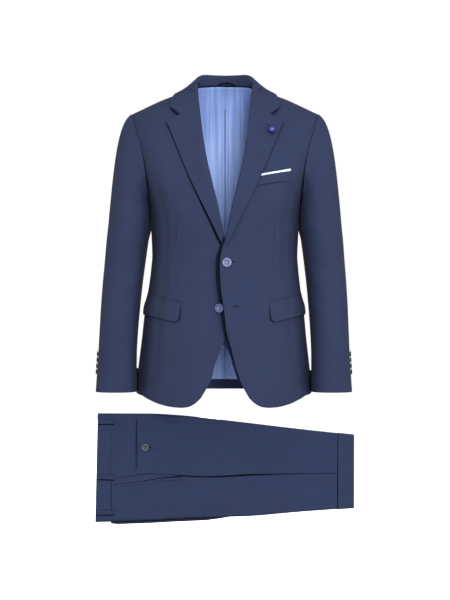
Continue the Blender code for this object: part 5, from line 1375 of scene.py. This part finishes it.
def legLine(across, near, part):
    half, seam = packetAt(across, "half"), packetAt(across, "seam")
    edge = packetAt(across, "upper" if part > 0 else "lower")
    if part < 0 and not near:
        under = packet["underLeg"]
        coming = ease((across - under["starts"]) / (under["fullFrom"] - under["starts"]))
        going = ease((under["ends"] - across) / (under["ends"] - under["fullTo"]))
        edge -= under["shows"] * float(coming * going)
    turn, stop = crease(half, edge, part)
    line = np.concatenate([flatSide(half, seam, stop, 34), turn])
    lap = packet["lap"]
    share = np.exp(-((across - lap["at"]) / lap["wide"]) ** 2) * np.exp(-((line[:, 1] - seam) / lap["reach"]) ** 2)
    line[:, 0] -= share * (lap["over"] if part > 0 else -lap["sink"])
    return section(across, line * [1 if near else -1, 1])


def outward(grid, towardFace):
    # square to a grid, on the side where its first column faces the given way in y
    out = gridNormals(grid)
    if out[len(out) // 2, 3, 1] * towardFace < 0:
        out = -out
    return out


def legPanel(name, node, near, part):
    start, stop = waistEnd + packet["waistBand"] - 0.0006, legEnd - packet["turnUp"] + 0.0006
    grid = np.array([legLine(x, near, part) for x in np.linspace(start, stop, 96)])
    face = -1 if near else 1
    out = outward(grid, face)
    flat = softFolds(grid, out, packet["folds"])
    share = ease((0.0 - grid[..., 1] * (-face) - 0.006) / 0.003)[..., None]
    grid = grid + (flat - grid) * share
    clothPiece(name, grid, out, trouserCloth, packet["legWall"], (0.0007, 0.0005, 0.0004, 0.0004), node)


def bandLine(across, lift):
    half = packetAt(across, "half") + lift
    upper = packetAt(across, "upper") + lift
    turn, stop = crease(half, packetAt(across, "lower") - lift, -1)
    bend = np.radians(np.linspace(0, 90, 9)[1:])
    top = np.stack([-half * np.cos(bend), upper - half + half * np.sin(bend)], axis=-1)
    line = np.concatenate([turn[::-1], flatSide(half, stop, upper - half, 30), top])
    return section(across, np.concatenate([line, line[-2::-1] * [-1, 1]]))


def turnUpLine(across, lift):
    half = packetAt(across, "half") + lift
    lowTurn, lowStop = crease(half, packetAt(across, "lower") - lift, -1)
    highTurn, highStop = crease(half, packetAt(across, "upper") + lift, 1)
    return section(across, np.concatenate([lowTurn[::-1], flatSide(half, lowStop, highStop, 36), highTurn]))


def waistBand():
    grid = np.array([bandLine(x, packet["bandStands"]) for x in np.linspace(waistEnd, waistEnd + packet["waistBand"], 16)])
    out = gridNormals(grid)
    if out[8, 20, 1] > 0:
        out = -out
    clothPiece("waistbandCloth", grid, out, trouserCloth, packet["bandWall"], (0.0006, 0.0006, 0.0009, 0.0007), "waistband")


def turnUp(name, node, near):
    face = np.array([1, 1 if near else -1, 1])
    grid = np.array([turnUpLine(x, packet["turnUpStands"]) for x in np.linspace(legEnd - packet["turnUp"], legEnd, 16)]) * face
    out = gridNormals(grid)
    if out[8, 30, 1] * (-1 if near else 1) < 0:
        out = -out
    clothPiece(name, grid, out, trouserCloth, packet["turnUpWall"], (0.0006, 0.0006, 0.0008, 0.0009), node)


def innerLayers():
    # the cloth folded away inside, seen only as a stack of layers at the open ends
    pieces = []
    layers = [(-0.0078, 0.004, 0.0), (-0.0052, 0.007, 0.004), (-0.0026, 0.005, 0.002), (0.0, 0.009, 0.006),
              (0.0026, 0.006, 0.001), (0.0052, 0.008, 0.005), (0.0078, 0.005, 0.003)]
    for k, (forward, inset, more) in enumerate(layers):
        rows = []
        for x in np.linspace(waistEnd + inset, legEnd - inset, 50):
            squash = packetAt(x, "half") / 0.0135
            upper, lower = packetAt(x, "upper") - 0.0128 - more, packetAt(x, "lower") + 0.0128 + more
            z = np.linspace(lower, upper, 16)
            y = forward * squash * 0.86 + 0.0009 * np.sin(14 * x + 9 * z) + 0.0002 * np.sin(38 * z + k)
            rows.append(np.stack([np.full(16, x), y, z], axis=-1))
        grid = np.array(rows)
        out = np.broadcast_to(np.array([0.0, -1.0, 0.0]), grid.shape).copy()
        pieces.append(clothPiece(f"innerLayer{k + 1}", grid, out, trouserCloth, 0.0017, (0.0007,) * 4,
                                 "inner_layers" if k == 0 else ()))


def laidStrip(name, node, near, low, high, lift, wall, bulge=0.0, steps=10):
    rows = np.linspace(0, 1, steps)[:, None, None]
    flat = np.array(low)[None] * (1 - rows) + np.array(high)[None] * rows
    half = follow(packet["line"], "across", "half", flat[..., 0]) + lift + wall
    middle = np.sin(pi * np.linspace(0, 1, flat.shape[1]))[None]
    half = half + bulge * middle
    face = -1 if near else 1
    points = np.stack([flat[..., 0], face * half, flat[..., 1]], axis=-1)
    out = np.broadcast_to(np.array([0.0, face, 0.0]), points.shape).copy()
    clothPiece(name, points, out, trouserCloth, wall, (wall * 0.42,) * 4, node)
    return points, out


beltLoops = {"heights": (-0.7790, -0.9080, -0.9912), "wide": 0.0095, "wall": 0.0018, "inset": 0.0015, "pastBand": 0.0075}
backPocket = {"across": -0.2100, "top": -0.7709, "bottom": -0.8880, "wide": 0.0052, "wall": 0.0011,
              "button": (-0.1868, -0.8387), "buttonWidth": 0.0155}
pocketMouth = {"line": table("across height", (-0.2600, -0.9258), (-0.2036, -0.9200), (-0.1451, -0.9112), (-0.1053, -0.9092)),
               "edge": 0.0055, "wall": 0.0011}


def trouserTrim(end, near):
    threads = []
    places = np.linspace(waistEnd + beltLoops["inset"], waistEnd + packet["waistBand"] + beltLoops["pastBand"], 26)
    for k, height in enumerate(beltLoops["heights"]):
        points, out = laidStrip(f"beltLoop{end.title()}{k + 1}", f"belt_loop_{end}_{k + 1}", near,
                                pair(places, height - beltLoops["wide"] / 2), pair(places, height + beltLoops["wide"] / 2),
                                packet["bandStands"] + 0.0004, beltLoops["wall"], 0.0010, 9)
        threads += stitches(points[1], out[1], 0.0030, 0.0018, 0.00016)
        threads += stitches(points[-2], out[-2], 0.0030, 0.0018, 0.00016)
    x, wide = backPocket["across"], backPocket["wide"]
    for k, (a, b) in enumerate(((x, x + wide * 0.47), (x + wide * 0.53, x + wide))):
        node = f"back_pocket_jets_{end}" if k == 0 else ()
        heights = np.linspace(backPocket["bottom"], backPocket["top"], 30)
        points, out = laidStrip(f"backPocketJet{end.title()}{k + 1}", node, near, pair(a + 0 * heights, heights),
                                pair(b + 0 * heights, heights), 0.0, backPocket["wall"], 0.0, 6)
    across, height = backPocket["button"]
    face = -1 if near else 1
    centre = np.array([across, face * (packetAt(across, "half") + 0.0006), height])
    fourHoleButton(f"backPocketButton{end.title()}", centre, (0, face, 0), backPocket["buttonWidth"], greyButton,
                   f"back_pocket_button_{end}", greyEdge)
    line = pocketMouth["line"]
    places = np.linspace(line["across"][0], line["across"][-1], 44)
    height = follow(line, "across", "height", places)
    points, out = laidStrip(f"frontPocketEdge{end.title()}", f"front_pocket_edge_{end}", near,
                            pair(places, height - pocketMouth["edge"]), pair(places, height), 0.0, pocketMouth["wall"], 0.0, 8)
    threads += stitches(points[1], out[1], 0.0032, 0.0020, 0.00016)
    threadRun(f"trouserStitches{end.title()}", threads, 0.00022, navyThread)
    # the buttonhole beside the back pocket's button, a near-black cord: painted shade in its slit
    hole = np.array([[across + 0.0070 + 0.0075 * t, face * (packetAt(across, "half") + 0.0002), height[0] * 0 + backPocket["button"][1]]
                     for t in np.linspace(0, 1, 7)])
    threadRun(f"backPocketHole{end.title()}", [hole], 0.0008, foldShadeCloth)


# Painted shade in the darkest part of the seams, edges and folds on the folded trousers, as dark cords: a name, points
# and widths.
trouserShades = {
    "loop1": ([(-0.3010, -0.7852), (-0.2600, -0.7850)], (0.0009, 0.0012, 0.0007)),
    "loop2": ([(-0.3010, -0.9138), (-0.2580, -0.9165)], (0.0009, 0.0011, 0.0006)),
    "loop3": ([(-0.3010, -0.9972), (-0.2590, -0.9975)], (0.0009, 0.0012, 0.0007)),
    "band": ([(-0.2655, -0.9180), (-0.2655, -0.9560), (-0.2655, -0.9960)], (0.0004, 0.0006, 0.0004)),
    "backPocket": ([(-0.2073, -0.7715), (-0.2075, -0.8300), (-0.2073, -0.8880)], (0.0005, 0.0010, 0.0009, 0.0004)),
    "pocketMouth": ([(-0.2600, -0.9258), (-0.2036, -0.9200), (-0.1750, -0.9148), (-0.1400, -0.9098), (-0.1000, -0.9060)],
                    (0.0006, 0.0011, 0.0011, 0.0007)),
    "sideSeam": ([(-0.2330, -0.9066), (-0.1746, -0.9000), (-0.1300, -0.9010), (-0.0870, -0.9050), (-0.0300, -0.9062),
                  (0.0120, -0.9050), (0.0700, -0.9025), (0.2600, -0.9000)], (0.0003, 0.0008, 0.0018, 0.0028, 0.0027, 0.0014, 0.0006, 0.0004)),
    "turnUp": ([(0.2640, -0.8080), (0.2640, -0.9000), (0.2640, -0.9830)], (0.0005, 0.0008, 0.0015, 0.0014)),
}


def trouserShade(end, near):
    face = -1 if near else 1
    for name, (spots, sizes) in trouserShades.items():
        spots = np.array(spots)
        steps = np.concatenate([[0], np.cumsum(np.linalg.norm(np.diff(spots, axis=0), axis=1))])
        at = np.linspace(0, steps[-1], 60)
        across = follow({"at": steps, "x": spots[:, 0]}, "at", "x", at)
        height = follow({"at": steps, "z": spots[:, 1]}, "at", "z", at)
        size = np.interp(at, np.linspace(0, steps[-1], len(sizes)), sizes)
        stands = {"loop1": 0.0006, "loop2": 0.0006, "loop3": 0.0006, "backPocket": 0.0013}
        sunk = 0.0002 - size * 0.55 + stands.get(name, 0)
        line = np.stack([across, face * (follow(packet["line"], "across", "half", across) + sunk), height], axis=-1)
        shadeLines(f"trouserShade{name[0].upper()}{name[1:]}{end.title()}", [line], [size])


for end, near in (("left", True), ("right", False)):
    trouserShade(end, near)
    legPanel(f"legBack{end.title()}", f"leg_back_{end}", near, 1)
    legPanel(f"legFront{end.title()}", f"leg_front_{end}", near, -1)
    turnUp(f"turnUp{end.title()}", f"turn_up_{end}", near)
    trouserTrim(end, near)
waistBand()
innerLayers()

# The waist's end of the packet is a little out of square.
waistLean = {"slope": 0.0216, "level": -0.887, "fades": 0.080}


def leanWaist(points):
    near = 1 - ease((points[:, 0] - waistEnd) / waistLean["fades"])
    points[:, 0] += waistLean["slope"] * (points[:, 2] - waistLean["level"]) * near


movePieces(made[jacketCount:], leanWaist)
print("trousers made")

# ---- studio
studio = {"floorZ": -1.0250, "floorHalf": 6.0, "sky": "#ffffff", "ambient": 0.17,
          "lights": {"key": {"place": (0.6, -3.4, 0.2), "size": 1.1, "power": 82},
                     "keySide": {"place": (2.7, -2.2, 0.6), "size": 1.4, "power": 29},
                     "low": {"place": (0.0, -3.4, -0.95), "size": 1.0, "power": 28},
                     "left": {"place": (-3.0, -0.9, 0.2), "size": 1.6, "power": 34},
                     "right": {"place": (3.0, -0.9, 0.2), "size": 1.6, "power": 18},
                     "above": {"place": (0.2, -1.6, 2.6), "size": 1.6, "power": 26},
                     "behind": {"place": (0.3, 3.4, 0.6), "size": 1.6, "power": 90},
                     "behindLow": {"place": (-0.8, 3.2, -1.0), "size": 1.6, "power": 40}}}
half, level = studio["floorHalf"], studio["floorZ"]
floor = meshObject("studioFloor", [(-half, -half, level), (half, -half, level), (half, half, level), (-half, half, level)],
                   [(0, 1, 2, 3)], lightTable("opalAcrylicTable", opalAcrylic), False)
floor.visible_diffuse = floor.visible_glossy = floor.visible_shadow = False

# The white room: plain white to look at, and a weak even light from all round.
world = bpy.data.worlds.new("softWhiteStudio")
bpy.context.scene.world = world
world.use_nodes = True
tree = world.node_tree
glow = tree.nodes["Background"]
glow.inputs["Color"].default_value = linear(studio["sky"])
glow.inputs["Strength"].default_value = studio["ambient"]
white = addNode(tree, "ShaderNodeBackground", None, {"Color": linear(studio["sky"]), "Strength": 1.0})
seen = addNode(tree, "ShaderNodeLightPath")
both = addNode(tree, "ShaderNodeMixShader", None, None, {"Fac": (seen, "Is Camera Ray")})
tree.links.new(glow.outputs[0], both.inputs[1])
tree.links.new(white.outputs[0], both.inputs[2])
tree.links.new(both.outputs[0], tree.nodes["World Output"].inputs["Surface"])


def softBox(name, look):
    light = bpy.data.lights.new(name, "AREA")
    light.energy, light.size = look["power"], look["size"]
    lamp = link(bpy.data.objects.new(name, light))
    lamp.visible_camera = False
    lamp.location = look["place"]
    way = np.array([0.0, 0.0, -0.45]) - np.array(look["place"])
    flat = np.hypot(way[0], way[1])
    lamp.rotation_euler = (np.arctan2(flat, -way[2]), 0, np.arctan2(-way[0], way[1]))


for name, look in studio["lights"].items():
    softBox(f"{name}Light", look)

view = {"distance": 3.6, "height": -0.4935, "frameHeight": 1.41, "sensor": 36.0}
lens = bpy.data.cameras.new("camera")
camera = link(bpy.data.objects.new("camera", lens))
lens.sensor_fit, lens.sensor_height = "VERTICAL", view["sensor"]
lens.lens = view["sensor"] * view["distance"] / view["frameHeight"]
camera.location = (0, -view["distance"], view["height"])
camera.rotation_euler = (radians(90), 0, 0)
bpy.context.scene.camera = camera
bpy.context.scene.view_settings.view_transform = "Standard"
print("studio set")
